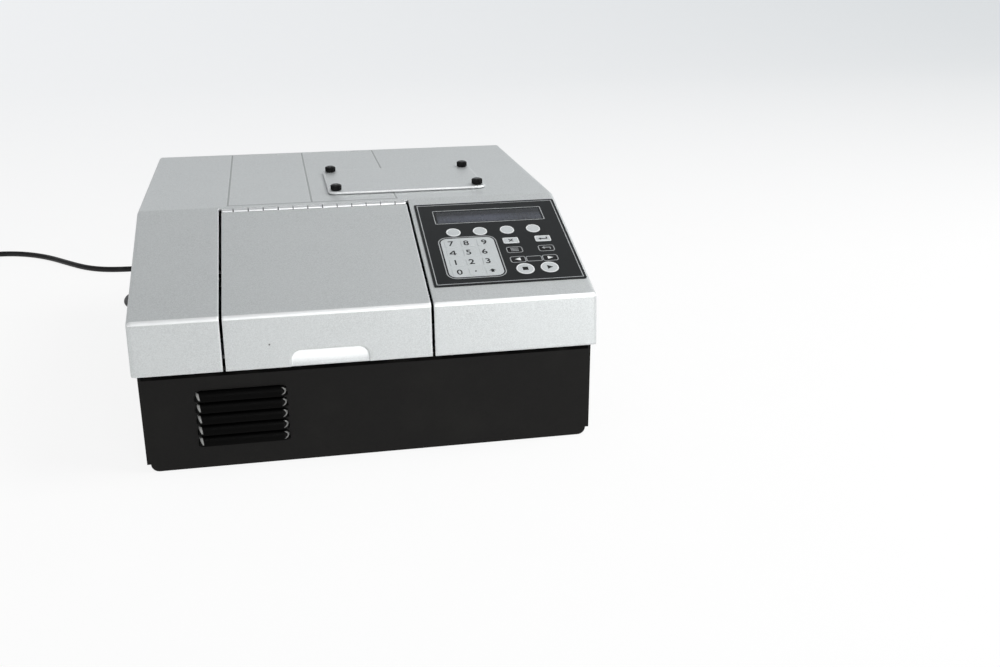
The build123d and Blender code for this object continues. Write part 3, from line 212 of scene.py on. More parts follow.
class Finish(Nodes):
    """A material in the making. Sizes are in millimetres, in the model's own frame."""

    def __init__(self, name, metallic=0.0, gloss=0.5):
        self.material = bpy.data.materials.new(name)
        super().__init__(self.material)
        self.output = self.add("OutputMaterial")
        self.shader = self.add("BsdfPrincipled")
        self.put(self.output.inputs[0], self.shader.outputs[0])
        self.set("Metallic", metallic)
        self.set("Specular IOR Level", gloss)
        self.place = self.add("TexCoord").outputs["Object"]
        self.normal = None

    def set(self, name, value):
        """One of the shader's own sockets, by name."""
        self.put(self.shader.inputs[name], value)

    def spread(self, stretch):
        """The place, squeezed along each axis so that a pattern comes out stretched there."""
        node = self.add("VectorMath", operation="MULTIPLY")
        self.put(node.inputs[0], self.place)
        node.inputs[1].default_value = [1 / value for value in stretch]
        return node.outputs[0]

    def noise(self, size, detail=2.0, stretch=None, twist=0.0):
        node = self.add("TexNoise")
        self.put(node.inputs["Vector"], self.spread(stretch) if stretch else self.place)
        node.inputs["Scale"].default_value = 1 / (size * MM)
        node.inputs["Detail"].default_value = detail
        node.inputs["Distortion"].default_value = twist
        return node.outputs[0]

    def cells(self, size, output="Distance"):
        node = self.add("TexVoronoi")
        self.put(node.inputs["Vector"], self.place)
        node.inputs["Scale"].default_value = 1 / (size * MM)
        return node.outputs[output]

    def flakes(self, size):
        """A random number, 0 to 1, for each small cell."""
        node = self.add("SeparateColor")
        self.put(node.inputs[0], self.cells(size, "Color"))
        return node.outputs[0]

    def product(self, first, *others):
        """Several masks multiplied together."""
        for other in others:
            first = self.maths("MULTIPLY", first, other)
        return first

    def stripes(self, value, pitch):
        """How far across its own stripe a value lies, 0 to 1."""
        return self.maths("FRACT", self.maths("MULTIPLY", value, 1 / (pitch * MM)))

    def patchy(self, size, low, high, detail=2.0):
        """A number that drifts between two values in patches, as a roughness does."""
        return self.between(self.noise(size, detail), 0.3, 0.7, low, high)

    def mix(self, factor, a, b):
        node = self.add("Mix", data_type="RGBA")
        for index, value in ((0, factor), (6, a), (7, b)):
            self.put(node.inputs[index], value)
        return node.outputs[2]

    def over(self, body, mask, strength, paint):
        """The body with a paint over it where the mask is 1, at less than full strength."""
        return self.mix(self.maths("MULTIPLY", mask, strength), body, paint)

    def axes(self):
        node = self.add("SeparateXYZ")
        self.put(node.inputs[0], self.place)
        return node.outputs

    def edges(self, radius):
        """1 where the surface turns a corner, 0 on the flat."""
        bevel = self.add("Bevel", samples=3)
        bevel.inputs["Radius"].default_value = radius * MM
        dot = self.add("VectorMath", operation="DOT_PRODUCT")
        self.put(dot.inputs[0], bevel.outputs[0])
        self.put(dot.inputs[1], self.add("NewGeometry").outputs["True Normal"])
        return self.between(dot.outputs["Value"], 0.985, 0.8)

    def soften(self, radius):
        """Sheet-metal folds and cut edges shade as if they were rolled over."""
        bevel = self.add("Bevel", samples=6)
        bevel.inputs["Radius"].default_value = radius * MM
        self.normal = bevel.outputs[0]

    def spot(self, centre, radius):
        """1 inside a small round place, 0 outside."""
        node = self.add("VectorMath", operation="DISTANCE")
        self.put(node.inputs[0], self.place)
        node.inputs[1].default_value = [MM * value for value in centre]
        return self.between(node.outputs["Value"], radius * MM, 0.6 * radius * MM)

    def away(self, line):
        """Distance from a line that runs across the machine, given by its y and z."""
        axes = self.axes()
        across = self.maths("SUBTRACT", axes[1], line[0] * MM)
        above = self.maths("SUBTRACT", axes[2], line[1] * MM)
        squared = self.maths("MULTIPLY_ADD", above, above, self.maths("MULTIPLY", across, across))
        return self.maths("SQRT", squared)

    def facing(self, axis):
        """How much the surface faces along an axis of the model, either way."""
        node = self.add("SeparateXYZ")
        self.put(node.inputs[0], self.add("TexCoord").outputs["Normal"])
        return self.maths("ABSOLUTE", node.outputs[axis])

    def bump(self, height, depth):
        node = self.add("Bump")
        node.inputs["Distance"].default_value = depth * MM
        self.put(node.inputs["Height"], height)
        if self.normal is not None:
            self.put(node.inputs["Normal"], self.normal)
        self.normal = node.outputs[0]

    def done(self, base, roughness):
        self.set("Base Color", base)
        self.set("Roughness", roughness)
        if self.normal is not None:
            self.set("Normal", self.normal)
        return self.material


# ---- places that a finish depends on, in millimetres ----
TOP = 182.5
RIDGE_Y = -48.0  # where the slope meets the flat top
FOLD_LINE = (-206.0, 130.5)  # y and z where the front face turns into the slope
HINGE_AXIS = (-53.32, 179.48)  # y and z
DOOR_CHIP = (-81.9, -208.0, 106.1)
SCOOP_X = -33.95
SCOOP_HALF = 34.0
SCOOP_TOP = 101.5
SCOOP_RIM_Y = -208.0
SCOOP_FADE = 1.6
SCOOP_BACK_Y = -199.0
HOOD_FRONT = -203.3  # a louvre's hood stands in front of this
LOUVRE_X = -107.2
LOUVRE_HALF = 38.0
LOUVRE_STRAIGHT = 64.0
LOUVRE_PITCH = 9.78
LOUVRE_FOOT = 21.6  # lower edge of the lowest one
TEAR_OUT, TEAR_LEAN = 0.5, 0.34  # past the straight part, and further out as it rises
TEAR_HALF, TEAR_WIDENS = 0.35, 0.2  # half its width at its foot, and its gain
CRESCENT_OUT, CRESCENT_UP, CRESCENT_BEND = 3.3, 4.2, 0.33
GLINT_STARTS, GLINT_STOPS = (1.0, 2.2), (7.2, 6.4)  # none at the first height, all at the second
DISPLAY_CELL = 3.9
DISPLAY_ROW = 5.2
DISPLAY_SHADE = (36.5, 32.0)  # in front of the ridge: from here up the window has a painted shadow
BOARD_TOP = 21.7
TRACK_PITCH, LANE_PITCH = 2.5, 3.1
LAMINATION = 0.7
MOTOR_BANDS = 28.0  # cap, laminations and cap repeat at this pitch
SCREW_PITCH, SCREW_TOP, SCREW_END = 2.5, 60.0, 112.0  # the plate drive's lead screw
CAPSULE_FOOT = 143.0
PLUG_PINS_Y = 642.05  # the plug is bare metal beyond this


# ---- finishes ----
def scoop_highlight(finish):
    """1 in the finger scoop, where a highlight is painted; it fades in from its rim."""
    x, y, z = finish.axes()
    beside = finish.maths("COMPARE", x, SCOOP_X * MM, SCOOP_HALF * MM)
    in_front = finish.maths("LESS_THAN", y, SCOOP_BACK_Y * MM)
    below = finish.maths("LESS_THAN", z, SCOOP_TOP * MM)
    inside = finish.between(y, SCOOP_RIM_Y * MM, (SCOOP_RIM_Y + SCOOP_FADE) * MM)
    return finish.product(beside, in_front, below, inside)


def silver_paint(name="silver_powder_paint", side_highlight=False):
    """Silver powder paint: bright flakes in a grey coat over a fine orange-peel skin."""
    finish = Finish(name, metallic=0.5)
    base, highlight_white = colour(206, 209, 209), colour(254, 255, 255)
    finish.soften(2.4)
    flake = finish.flakes(0.55)
    cloud = finish.between(finish.noise(45, 3), 0.35, 0.65)
    body = finish.mix(flake, shade(base, 0.88), shade(base, 1.1))
    body = finish.over(body, cloud, 0.35, shade(base, 1.03))
    # painted highlight along every edge, with a little rubbed paint
    body = finish.over(body, finish.edges(2.0), 0.85, colour(250, 252, 252))
    # painted highlight in the finger scoop
    body = finish.over(body, scoop_highlight(finish), 0.8, colour(253, 254, 254))
    # painted highlight along the fold between the front face and the slope
    fold_highlight = finish.between(finish.away(FOLD_LINE), 2.8 * MM, 2.0 * MM)
    body = finish.over(body, fold_highlight, 0.85, highlight_white)
    # painted highlight: the piece's side faces turned white
    if side_highlight:
        side = finish.between(finish.facing(2), 0.8, 0.4)
        body = finish.mix(side, body, highlight_white)
    body = finish.mix(finish.spot(DOOR_CHIP, 0.9), body, colour(92, 92, 90))
    finish.bump(finish.noise(1.1, 2), 0.035)
    finish.bump(flake, 0.006)
    return finish.done(body, finish.patchy(3, 0.40, 0.52))


def painted_end_glints(finish, x, y, z):
    """1 where highlights are painted on the ends of each louvre: a teardrop on the left, a crescent on the
    right.
    """
    along = finish.maths("SUBTRACT", x, LOUVRE_X * MM)
    out = finish.maths("SUBTRACT", finish.maths("ABSOLUTE", along), LOUVRE_STRAIGHT / 2 * MM)
    share = finish.stripes(finish.maths("SUBTRACT", z, LOUVRE_FOOT * MM), LOUVRE_PITCH)
    up = finish.maths("MULTIPLY", share, LOUVRE_PITCH * MM)

    def off(middle):
        return finish.maths("ABSOLUTE", finish.maths("SUBTRACT", out, middle))

    # the teardrop leans outward as it rises, and widens
    middle = finish.maths("MULTIPLY_ADD", up, TEAR_LEAN, TEAR_OUT * MM)
    half = finish.maths("MULTIPLY_ADD", up, TEAR_WIDENS, TEAR_HALF * MM)
    tear = finish.between(finish.maths("DIVIDE", off(middle), half), 1.1, 0.6)
    # the crescent bulges outward at its middle height
    above = finish.maths("SUBTRACT", up, CRESCENT_UP * MM)
    squared = finish.maths("MULTIPLY", above, above)
    middle = finish.maths("MULTIPLY_ADD", squared, -CRESCENT_BEND / MM, CRESCENT_OUT * MM)
    crescent = finish.maths("MULTIPLY", finish.between(off(middle), 1.0 * MM, 0.4 * MM), 0.6)

    right = finish.maths("GREATER_THAN", along, 0.0)
    left = finish.maths("SUBTRACT", 1.0, right)
    shape = finish.maths("MAXIMUM", finish.product(right, crescent), finish.product(left, tear))
    starts = finish.between(up, *(height * MM for height in GLINT_STARTS))
    stops = finish.between(up, *(height * MM for height in GLINT_STOPS))
    proud = finish.between(y, HOOD_FRONT * MM, (HOOD_FRONT - 0.3) * MM)
    return finish.product(shape, starts, stops, proud, finish.maths("GREATER_THAN", out, 0.0))


def black_paint():
    """Satin black powder coat on sheet steel, with a fine grain, faint dust and rubbed edges; painted
    shade darkens the louvre hoods and painted highlights lie on their ends.
    """
    finish = Finish("black_powder_paint", gloss=0.16)
    base = colour(15, 14, 13)
    dust = finish.between(finish.noise(38, 4), 0.5, 0.8)
    body = finish.mix(finish.flakes(0.7), shade(base, 0.8), shade(base, 1.2))
    body = finish.over(body, dust, 0.25, colour(34, 33, 30))
    body = finish.over(body, finish.edges(0.5), 0.4, colour(84, 84, 82))
    x, y, z = finish.axes()
    proud = finish.between(y, HOOD_FRONT * MM, (HOOD_FRONT - 0.8) * MM)
    hood_shade = finish.product(proud, finish.maths("COMPARE", x, LOUVRE_X * MM, LOUVRE_HALF * MM))
    # painted shade: the louvre hoods darkened almost to black
    body = finish.over(body, hood_shade, 0.85, colour(5, 5, 5))
    ends = painted_end_glints(finish, x, y, z)
    # painted highlights on the louvre ends
    body = finish.mix(ends, body, colour(158, 158, 156))
    # painted shade as well: the hoods are made metallic so that they throw no sheen and stay dark under
    # the front light
    unlit = finish.product(hood_shade, finish.maths("SUBTRACT", 1.0, ends), 0.75)
    finish.set("Metallic", unlit)
    finish.bump(finish.noise(0.9, 2), 0.03)
    return finish.done(body, finish.patchy(4, 0.34, 0.48, 3))


def brushed_metal(name, base, grain, roughness=0.3, metallic=1.0):
    """Metal with fine lines drawn along one axis: grain is how far each axis is stretched."""
    finish = Finish(name, metallic=metallic)
    lines = finish.noise(0.25, 3, stretch=grain)
    cloud = finish.noise(14, 3)
    body = finish.mix(lines, shade(base, 0.82), shade(base, 1.12))
    body = finish.mix(finish.between(cloud, 0.45, 0.75, 0, 0.4), body, shade(base, 0.75))
    body = finish.over(body, finish.edges(0.4), 0.5, shade(base, 1.5))
    finish.bump(lines, 0.01)
    return finish.done(body, finish.patchy(2.5, roughness - 0.06, roughness + 0.1, 3))


def moulded(name, base, grain=0.6, depth=0.03, roughness=0.5, dust=0.25, wear=0.35, gloss=0.4):
    """Moulded plastic or rubber: spark-eroded grain, slight colour drift, dust and rubbed edges."""
    finish = Finish(name, gloss=gloss)
    drift = finish.noise(9, 3)
    dusty = finish.between(finish.noise(22, 4), 0.5, 0.78, 0, dust)
    body = finish.mix(drift, shade(base, 0.85), shade(base, 1.15))
    body = finish.mix(dusty, body, colour(112, 110, 106))
    body = finish.over(body, finish.edges(0.5), wear, shade(base, 2.2))
    finish.bump(finish.noise(grain, 3), depth)
    return finish.done(body, finish.between(drift, 0.3, 0.7, roughness - 0.07, roughness + 0.07))


def plug_finish():
    """Black moulded grip with nickel-plated brass blades and pin."""
    finish = Finish("plug_rubber", gloss=0.3)
    pins = finish.maths("GREATER_THAN", finish.axes()[1], PLUG_PINS_Y * MM)
    finish.set("Metallic", pins)
    base = colour(22, 22, 23)
    grip = finish.mix(finish.noise(9, 3), shade(base, 0.85), shade(base, 1.2))
    grip = finish.over(grip, finish.edges(0.5), 0.35, shade(base, 2.2))
    lines = finish.noise(0.25, 3, stretch=(1, 30, 1))
    metal = finish.mix(lines, colour(196, 190, 172), colour(226, 220, 200))
    finish.bump(finish.noise(0.6, 3), 0.02)
    rough = finish.maths("MULTIPLY_ADD", pins, -0.2, finish.patchy(3, 0.42, 0.55))
    return finish.done(finish.mix(pins, grip, metal), rough)


def hinge_steel():
    """Bright rolled knuckles; the leaves behind them are darkened with painted shade where they run under
    the skins.
    """
    finish = Finish("hinge_steel", metallic=0.75)
    leaf_shade = finish.between(finish.away(HINGE_AXIS), 2.5 * MM, 2.9 * MM)
    lines = finish.noise(0.4, 2, stretch=(30, 1, 1))
    body = finish.mix(lines, colour(238, 240, 241), colour(250, 251, 251))
    # painted shade on the leaves under the skins
    body = finish.mix(leaf_shade, body, colour(118, 121, 122))
    finish.bump(lines, 0.004)
    return finish.done(body, finish.patchy(3, 0.3, 0.38))


def overlay_film(name, base, roughness=0.42, wear=0.4):
    """Printed polyester film: a velvet grain, faint finger marks and an even ink."""
    finish = Finish(name, gloss=0.25)
    marks = finish.between(finish.noise(17, 3, twist=0.6), 0.45, 0.7)
    body = finish.mix(finish.flakes(0.4), shade(base, 0.93), shade(base, 1.07))
    body = finish.over(body, marks, 0.25, shade(base, 1.12))
    if wear:
        body = finish.over(body, finish.edges(0.25), wear, shade(base, 1.6))
    finish.bump(finish.noise(0.35, 2), 0.008)
    return finish.done(body, finish.between(marks, 0, 1, roughness, roughness - 0.12))


def display_glass():
    """The display behind its window: rows of character cells, unlit, under a glossy film."""
    finish = Finish("display_window")
    finish.set("Coat Weight", 0.15)
    finish.set("Coat Roughness", 0.06)
    x, y, _ = finish.axes()
    down = finish.maths("SUBTRACT", RIDGE_Y * MM, y)
    in_column = finish.maths("COMPARE", finish.stripes(x, DISPLAY_CELL), 0.5, 0.41)
    in_row = finish.maths("COMPARE", finish.stripes(down, DISPLAY_ROW), 0.5, 0.42)
    body = finish.mix(finish.patchy(30, 0, 1), colour(58, 60, 63), colour(74, 77, 87))
    body = finish.over(body, finish.product(in_column, in_row), 0.3, colour(88, 92, 104))
    body = finish.over(body, finish.flakes(0.5), 0.15, colour(50, 52, 58))
    # painted shadow of the window's frame over the upper part of the display
    upper = finish.between(down, *(drop * MM for drop in DISPLAY_SHADE))
    body = finish.over(body, upper, 0.85, colour(34, 36, 39))
    return finish.done(body, finish.patchy(8, 0.22, 0.32))


def circuit_board():
    """Green solder mask with tracks and pads; whatever stands above the board is black."""
    finish = Finish("circuit_board")
    x, y, z = finish.axes()
    tracks = finish.maths("LESS_THAN", finish.stripes(x, TRACK_PITCH), 0.28)
    lanes = finish.maths("LESS_THAN", finish.stripes(y, LANE_PITCH), 0.2)
    shown = finish.maths("GREATER_THAN", finish.noise(11, 1), 0.5)
    lines = finish.product(finish.maths("MAXIMUM", tracks, lanes), shown)
    board = finish.mix(lines, colour(24, 78, 46), colour(48, 118, 72))
    board = finish.mix(finish.between(finish.cells(5.5), 0.12, 0.09), board, colour(196, 190, 170))
    parts = finish.mix(finish.flakes(6), colour(28, 28, 30), colour(52, 52, 56))
    body = finish.mix(finish.maths("GREATER_THAN", z, BOARD_TOP * MM), board, parts)
    finish.bump(finish.noise(0.8, 2), 0.02)
    return finish.done(body, finish.patchy(5, 0.3, 0.5))


def motor_finish():
    """Stepper motors: black laminations between cast end caps. The low shaft is a lead screw."""
    finish = Finish("stepper_motor", metallic=0.6)
    _, y, z = finish.axes()
    dark = finish.mix(finish.stripes(y, LAMINATION), colour(26, 26, 28), colour(44, 44, 46))
    cast = finish.mix(finish.flakes(0.9), colour(128, 129, 130), colour(160, 161, 162))
    stack = finish.maths("COMPARE", finish.stripes(y, MOTOR_BANDS), 0.5, 0.33)
    body = finish.mix(stack, cast, dark)
    body = finish.over(body, finish.edges(0.5), 0.5, colour(196, 196, 196))
    thread = finish.maths("COMPARE", finish.stripes(y, SCREW_PITCH), 0.5, 0.3)
    steel = finish.mix(thread, colour(92, 92, 94), colour(206, 207, 208))
    low = finish.maths("LESS_THAN", z, SCREW_TOP * MM)
    front = finish.maths("LESS_THAN", y, SCREW_END * MM)
    body = finish.mix(finish.product(low, front), body, steel)
    finish.bump(finish.noise(0.7, 2), 0.03)
    return finish.done(body, finish.patchy(3, 0.32, 0.5))


def bulb_glass():
    """The lamp's capsule, lightly smoked, and its ceramic base below."""
    finish = Finish("lamp_glass")
    foot = finish.maths("LESS_THAN", finish.axes()[2], CAPSULE_FOOT * MM)
    smoke = finish.mix(finish.noise(4, 2), colour(206, 214, 218), colour(228, 233, 236))
    body = finish.mix(foot, smoke, colour(222, 216, 202))
    finish.bump(finish.noise(0.8, 2), 0.01)
    return finish.done(body, finish.patchy(4, 0.06, 0.16))


def cord_sheath():
    """Black flexible PVC: almost matt, a faint drawn grain, dust on it and a waxy drift."""
    finish = Finish("cord_sheath", gloss=0.25)
    base = colour(22, 22, 23)
    dusty = finish.between(finish.noise(16, 4), 0.5, 0.75, 0, 0.2)
    body = finish.mix(finish.noise(5, 3), shade(base, 0.8), shade(base, 1.3))
    body = finish.mix(dusty, body, colour(82, 81, 78))
    finish.bump(finish.noise(0.5, 2), 0.02)
    return finish.done(body, finish.patchy(6, 0.36, 0.5))


FINISHES = {  # one for each material slot
    "silver_paint": silver_paint(),
    "black_paint": black_paint(),
    "steel": brushed_metal("plated_steel", colour(198, 200, 202), (40, 1, 1), 0.28),
    "bright_pin": brushed_metal("bright_pin", colour(92, 94, 96), (60, 1, 1), 0.3),
    "alloy": brushed_metal("milled_alloy", colour(176, 178, 181), (1, 30, 1), 0.38),
    "carrier_black": brushed_metal("black_anodised", colour(34, 34, 37), (20, 1, 1), 0.42, 0.4),
    "rubber": moulded("foot_rubber", colour(26, 26, 26), 0.8, 0.05, 0.75, 0.35, 0.2),
    "overlay_grey": overlay_film("overlay_film", colour(25, 27, 28)),
    "key_light": overlay_film("key_light", colour(192, 196, 197), 0.38),
    "key_dark": overlay_film("key_dark", colour(18, 18, 19), 0.38),
    "display": display_glass(),
    "black_plastic": moulded("black_plastic", colour(27, 27, 28)),
    "board_green": circuit_board(),
    "motor": motor_finish(),
    "lamp_glass": bulb_glass(),
    "cord_black": cord_sheath(),
}
PLUG_RUBBER = plug_finish()
PLATE_PAINT = silver_paint("plate_paint", side_highlight=True)
KNOB_PLASTIC = moulded("knob_plastic", colour(8, 8, 9), 0.5, 0.02, 0.3, 0.03, 0.2, 0.16)
HINGE_STEEL = hinge_steel()
DIGIT_FILM = overlay_film("digit_film", colour(192, 196, 197), 0.38, 0)
PRINT_LIGHT = overlay_film("print_light", colour(168, 171, 172), 0.4)
PRINT_DARK = overlay_film("print_dark", colour(9, 9, 10), 0.4)
PRINT_WHITE = overlay_film("print_white", colour(232, 234, 234), 0.4)
SCREW_STEEL = brushed_metal("screw_zinc", colour(186, 188, 188), (1, 1, 8), 0.3)
TIE_WEAVE = moulded("tie_weave", colour(22, 22, 24), 0.5, 0.12, 0.8, 0.3, 0.1)
SOCKET_GOLD = brushed_metal("contact_gold", colour(196, 168, 96), (1, 1, 1), 0.3)


OWN_FINISHES = {  # pieces that don't take their slot's finish
    "hinge_frame_leaf": HINGE_STEEL,
    "door_hinge_leaf": HINGE_STEEL,
    "probe_plate": PLATE_PAINT,
    "mains_plug": PLUG_RUBBER,
    **{f"key_{name}": DIGIT_FILM for name in (*"0123456789", "point", "shift")},
}


def dress_frame():
    """Gives every CAD piece and the mains lead its finish."""
    slots = {row["node"]: row["material_slot"] for row in frame["record"]["subparts"]}
    for name, node in frame["nodes"].items():
        node.data.materials.clear()
        node.data.materials.append(OWN_FINISHES.get(name, FINISHES[slots[name]]))
    cord.data.materials.append(FINISHES["cord_black"])


dress_frame()


# ---- small pieces in mesh code ----
def piece(name, mesh, material, body):
    """A finished mesh as a piece that rides on a body."""
    made = new_object(name, mesh)
    mesh.materials.clear()
    mesh.materials.append(material)
    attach(made, body)
    return made


def mesh_from(name, build, outward=True):
    """A mesh that a function builds. The faces of closed shapes are turned outward."""
    bm = bmesh.new()
    build(bm)
    if outward:
        bmesh.ops.recalc_face_normals(bm, faces=bm.faces)
    mesh = bpy.data.meshes.new(name)
    bm.to_mesh(mesh)
    bm.free()
    return mesh


def case_piece(name, build, material):
    """A piece that a function builds and that rides on the case."""
    return piece(name, mesh_from(name, build), material, "case")


def corners(bm, points):
    """Vertices at points in millimetres."""
    return [bm.verts.new(Vector(point) * MM) for point in points]


def join(bm, loops):
    """Walls between each closed loop of points and the next."""
    for low, high in zip(loops, loops[1:]):
        for step in range(len(low)):
            after = (step + 1) % len(low)
            bm.faces.new((low[step], low[after], high[after], high[step]))


def close(bm, loops):
    """A solid: walls between the loops, and a face across the first and the last."""
    join(bm, loops)
    bm.faces.new(loops[0][::-1])
    bm.faces.new(loops[-1])


def lathe(bm, rings, place, count):
    """Rings of (radius, height) as a closed turned shape. A radius may depend on the step."""
    loops = []
    for radius, height in rings:
        loop = []
        for step in range(count):
            angle = 2 * math.pi * step / count
            reach = radius(step) if callable(radius) else radius
            point = Vector((reach * math.cos(angle), reach * math.sin(angle), height)) * MM
            loop.append(bm.verts.new(place @ point))
        loops.append(loop)
    close(bm, loops)


def shift(x, y, z):
    """A move, in millimetres."""
    return Matrix.Translation(Vector((x, y, z)) * MM)


TO_THE_BACK = Matrix.Rotation(math.radians(-90), 4, "X")  # points a turned shape's axis along y

# The slope's own frame: across, up the slope, out of it.
SLOPE = math.radians(18.217)
SLOPE_FRAME = Matrix(
    (
        (1, 0, 0, 0),
        (0, math.cos(SLOPE), -math.sin(SLOPE), RIDGE_Y * MM),
        (0, math.sin(SLOPE), math.cos(SLOPE), TOP * MM),
        (0, 0, 0, 1),
    )
)
PRINT = 0.03  # thickness of a printed mark
DIGIT_SIZE = 10.4
DIGIT_BOLD = 0.16  # how far a figure's outline is moved out
OVERLAY_FACE = 0.8
KEY_FACE = 1.1


def rounded(left, right, upper, lower, radius, corner_steps=6):
    """A rounded rectangle as points, down being positive in the arguments and negative in y."""
    points = []
    corners = (
        (right - radius, -(upper + radius), 0),
        (left + radius, -(upper + radius), 90),
        (left + radius, -(lower - radius), 180),
        (right - radius, -(lower - radius), 270),
    )
    for x, y, start in corners:
        for step in range(corner_steps + 1):
            angle = math.radians(start + 90 * step / corner_steps)
            points.append((x + radius * math.cos(angle), y + radius * math.sin(angle)))
    return points


def circle(x, down, radius, steps=40):
    """A round outline."""
    turns = [2 * math.pi * step / steps for step in range(steps)]
    return [(x + radius * math.cos(turn), -down + radius * math.sin(turn)) for turn in turns]


def printed(name, outlines, material, body):
    """A flat mark with holes where outlines lie inside each other, on a key or the case's overlay."""
    data = bpy.data.curves.new(name, "CURVE")
    data.dimensions = "2D"
    data.fill_mode = "BOTH"
    data.extrude = PRINT * MM / 2
    for outline in outlines:
        spline = data.splines.new("POLY")
        spline.points.add(len(outline) - 1)
        for point, (x, y) in zip(spline.points, outline):
            point.co = (x * MM, y * MM, 0, 1)
        spline.use_cyclic_u = True
    flat_piece(name, data, material, body)


def flat_piece(name, data, material, body, centre=None):
    """A filled curve as a mesh on the slope. If a centre is given, its own box is centred there."""
    source = new_object(name, data)
    mesh = bpy.data.meshes.new_from_object(source)
    bpy.data.objects.remove(source)
    if centre:
        for axis in (0, 1):
            values = [vertex.co[axis] for vertex in mesh.vertices]
            offset = centre[axis] * MM - (min(values) + max(values)) / 2
            for vertex in mesh.vertices:
                vertex.co[axis] += offset
    face = OVERLAY_FACE if body == "case" else KEY_FACE
    mesh.transform(SLOPE_FRAME @ shift(0, 0, face + PRINT / 2))
    piece(name, mesh, material, body)


def numeral(text, x, down, body):
    """A bold printed number, in the built-in plain typeface, centred on a place on its key."""
    name = f"figure_{text}"
    data = bpy.data.curves.new(name, "FONT")
    data.body = text
    data.size = DIGIT_SIZE * MM
    data.offset = DIGIT_BOLD * MM
    data.extrude = PRINT * MM / 2
    data.resolution_u = 4
    flat_piece(name, data, PRINT_DARK, body, (x, -down))


def on_overlay(name, outlines, material=PRINT_LIGHT):
    """A mark printed on the overlay itself."""
    printed(name, outlines, material, "case")


# ---- the legends: outlines about their own middle, then where they go ----
FOUR = (  # the outline and the hole in it
    (
        (2.0, -3.5), (2.0, -2.0), (3.1, -2.0), (3.1, -0.9), (2.0, -0.9), (2.0, 3.5), (0.6, 3.5),
        (-3.1, -0.8), (-3.1, -2.0), (0.8, -2.0), (0.8, -3.5),
    ),
    ((0.8, -0.9), (0.8, 1.9), (-1.6, -0.9)),
)
SHIFT_ARROW = (
    (0, 2.6), (3.0, -0.2), (1.3, -0.2), (1.3, -2.4), (-1.3, -2.4), (-1.3, -0.2), (-3.0, -0.2),
)
ENTER_ARROW = (
    (-4.2, -0.6), (-1.9, 1.2), (-1.9, 0.0), (2.9, 0.0), (2.9, 2.0),
    (4.1, 2.0), (4.1, -1.2), (-1.9, -1.2), (-1.9, -2.4),
)
CROSS = (
    (-2.2, 1.5), (-1.5, 2.2), (0, 0.7), (1.5, 2.2), (2.2, 1.5), (0.7, 0),
    (2.2, -1.5), (1.5, -2.2), (0, -0.7), (-1.5, -2.2), (-2.2, -1.5), (-0.7, 0),
)
LEFT_ARROW = ((-2.6, 0), (2.2, 2.3), (2.2, -2.3))
RIGHT_ARROW = ((2.6, 0), (-2.2, -2.3), (-2.2, 2.3))
BACK_ARROW = (
    (-4.0, 0.4), (-1.6, 2.4), (-1.6, 1.1), (3.8, 1.1), (3.8, -2.0),
    (2.9, -2.0), (2.9, 0.2), (-1.6, 0.2), (-1.6, -1.6),
)
SQUARE = ((-2.4, -2.4), (2.4, -2.4), (2.4, 2.4), (-2.4, 2.4))
PLAY = ((3.0, 0), (-2.0, -2.9), (-2.0, 2.9))
BAR_HALF, BAR_PITCH = (3.5, 0.35), 1.9
BARS = [
    [(i * BAR_HALF[0], row * BAR_PITCH + j * BAR_HALF[1]) for i, j in ((-1, -1), (1, -1), (1, 1), (-1, 1))]
    for row in (-1, 0, 1)
]


def moved(outline, x, down):
    """An outline about a place on the slope."""
    return [(x + a, -down + b) for a, b in outline]


def key_box(x, down, width, height):
    """A key's left, right, upper and lower edges."""
    return (x - width / 2, x + width / 2, down - height / 2, down + height / 2)


def ring(box, corner, outside, inside):
    """Two rounded outlines, grown from one box by two amounts."""
    left, right, upper, lower = box
    return [
        rounded(left - grow, right + grow, upper - grow, lower + grow, max(0.2, corner + grow))
        for grow in (outside, inside)
    ]


DIGIT_KEYS = (("7", "8", "9"), ("4", "5", "6"), ("1", "2", "3"), ("0", "", ""))
# how far across from the middle of its key each figure stands
DIGIT_SHIFTS = ((0.0, -1.1, 0.5), (-0.6, -1.3, -1.6), (-0.6, -1.1, -1.3), (0.5, 0, 0))
DIGIT_FIRST = (79.4, 80.7)
DIGIT_PITCH = (14.5, 14.7)
FIELD = (70.6, 118.2, 72.4, 132.0)
FIELD_CORNER = 6.5
FIELD_OUTLINE = (2.2, 1.4)  # how far its two edges lie outside the field
KEY_HOLE = 11.4 + 2 * 0.05  # the key, and a narrow gap on each side
KEY_HOLE_CORNER = 1.65
POINT_DROP, POINT_R = -0.3, 0.9


def number_pad():
    """The light field with a hole for each key, its outline, and the figures."""
    left, across = DIGIT_FIRST[0], DIGIT_PITCH[0]
    holes = []
    for row, texts in enumerate(DIGIT_KEYS):
        down = DIGIT_FIRST[1] + row * DIGIT_PITCH[1]
        for column, text in enumerate(texts):
            x = left + column * across
            holes.append(rounded(*key_box(x, down, KEY_HOLE, KEY_HOLE), KEY_HOLE_CORNER))
            place, body = x + DIGIT_SHIFTS[row][column], f"key_{text}_pad"
            if text == "4":
                outlines = [moved(outline, place, down) for outline in FOUR]
                printed("figure_4", outlines, PRINT_DARK, body)
            elif text:
                numeral(text, place, down, body)
    field = [rounded(*FIELD, FIELD_CORNER), *holes]
    on_overlay("number_field", field, FINISHES["key_light"])
    on_overlay("number_outline", ring(FIELD, FIELD_CORNER, *FIELD_OUTLINE))
    point = [circle(left + across, down + POINT_DROP, POINT_R)]
    printed("figure_point", point, PRINT_DARK, "key_point_pad")
    arrow = [moved(SHIFT_ARROW, left + 2 * across, down)]
    printed("symbol_shift", arrow, PRINT_DARK, "key_shift_pad")


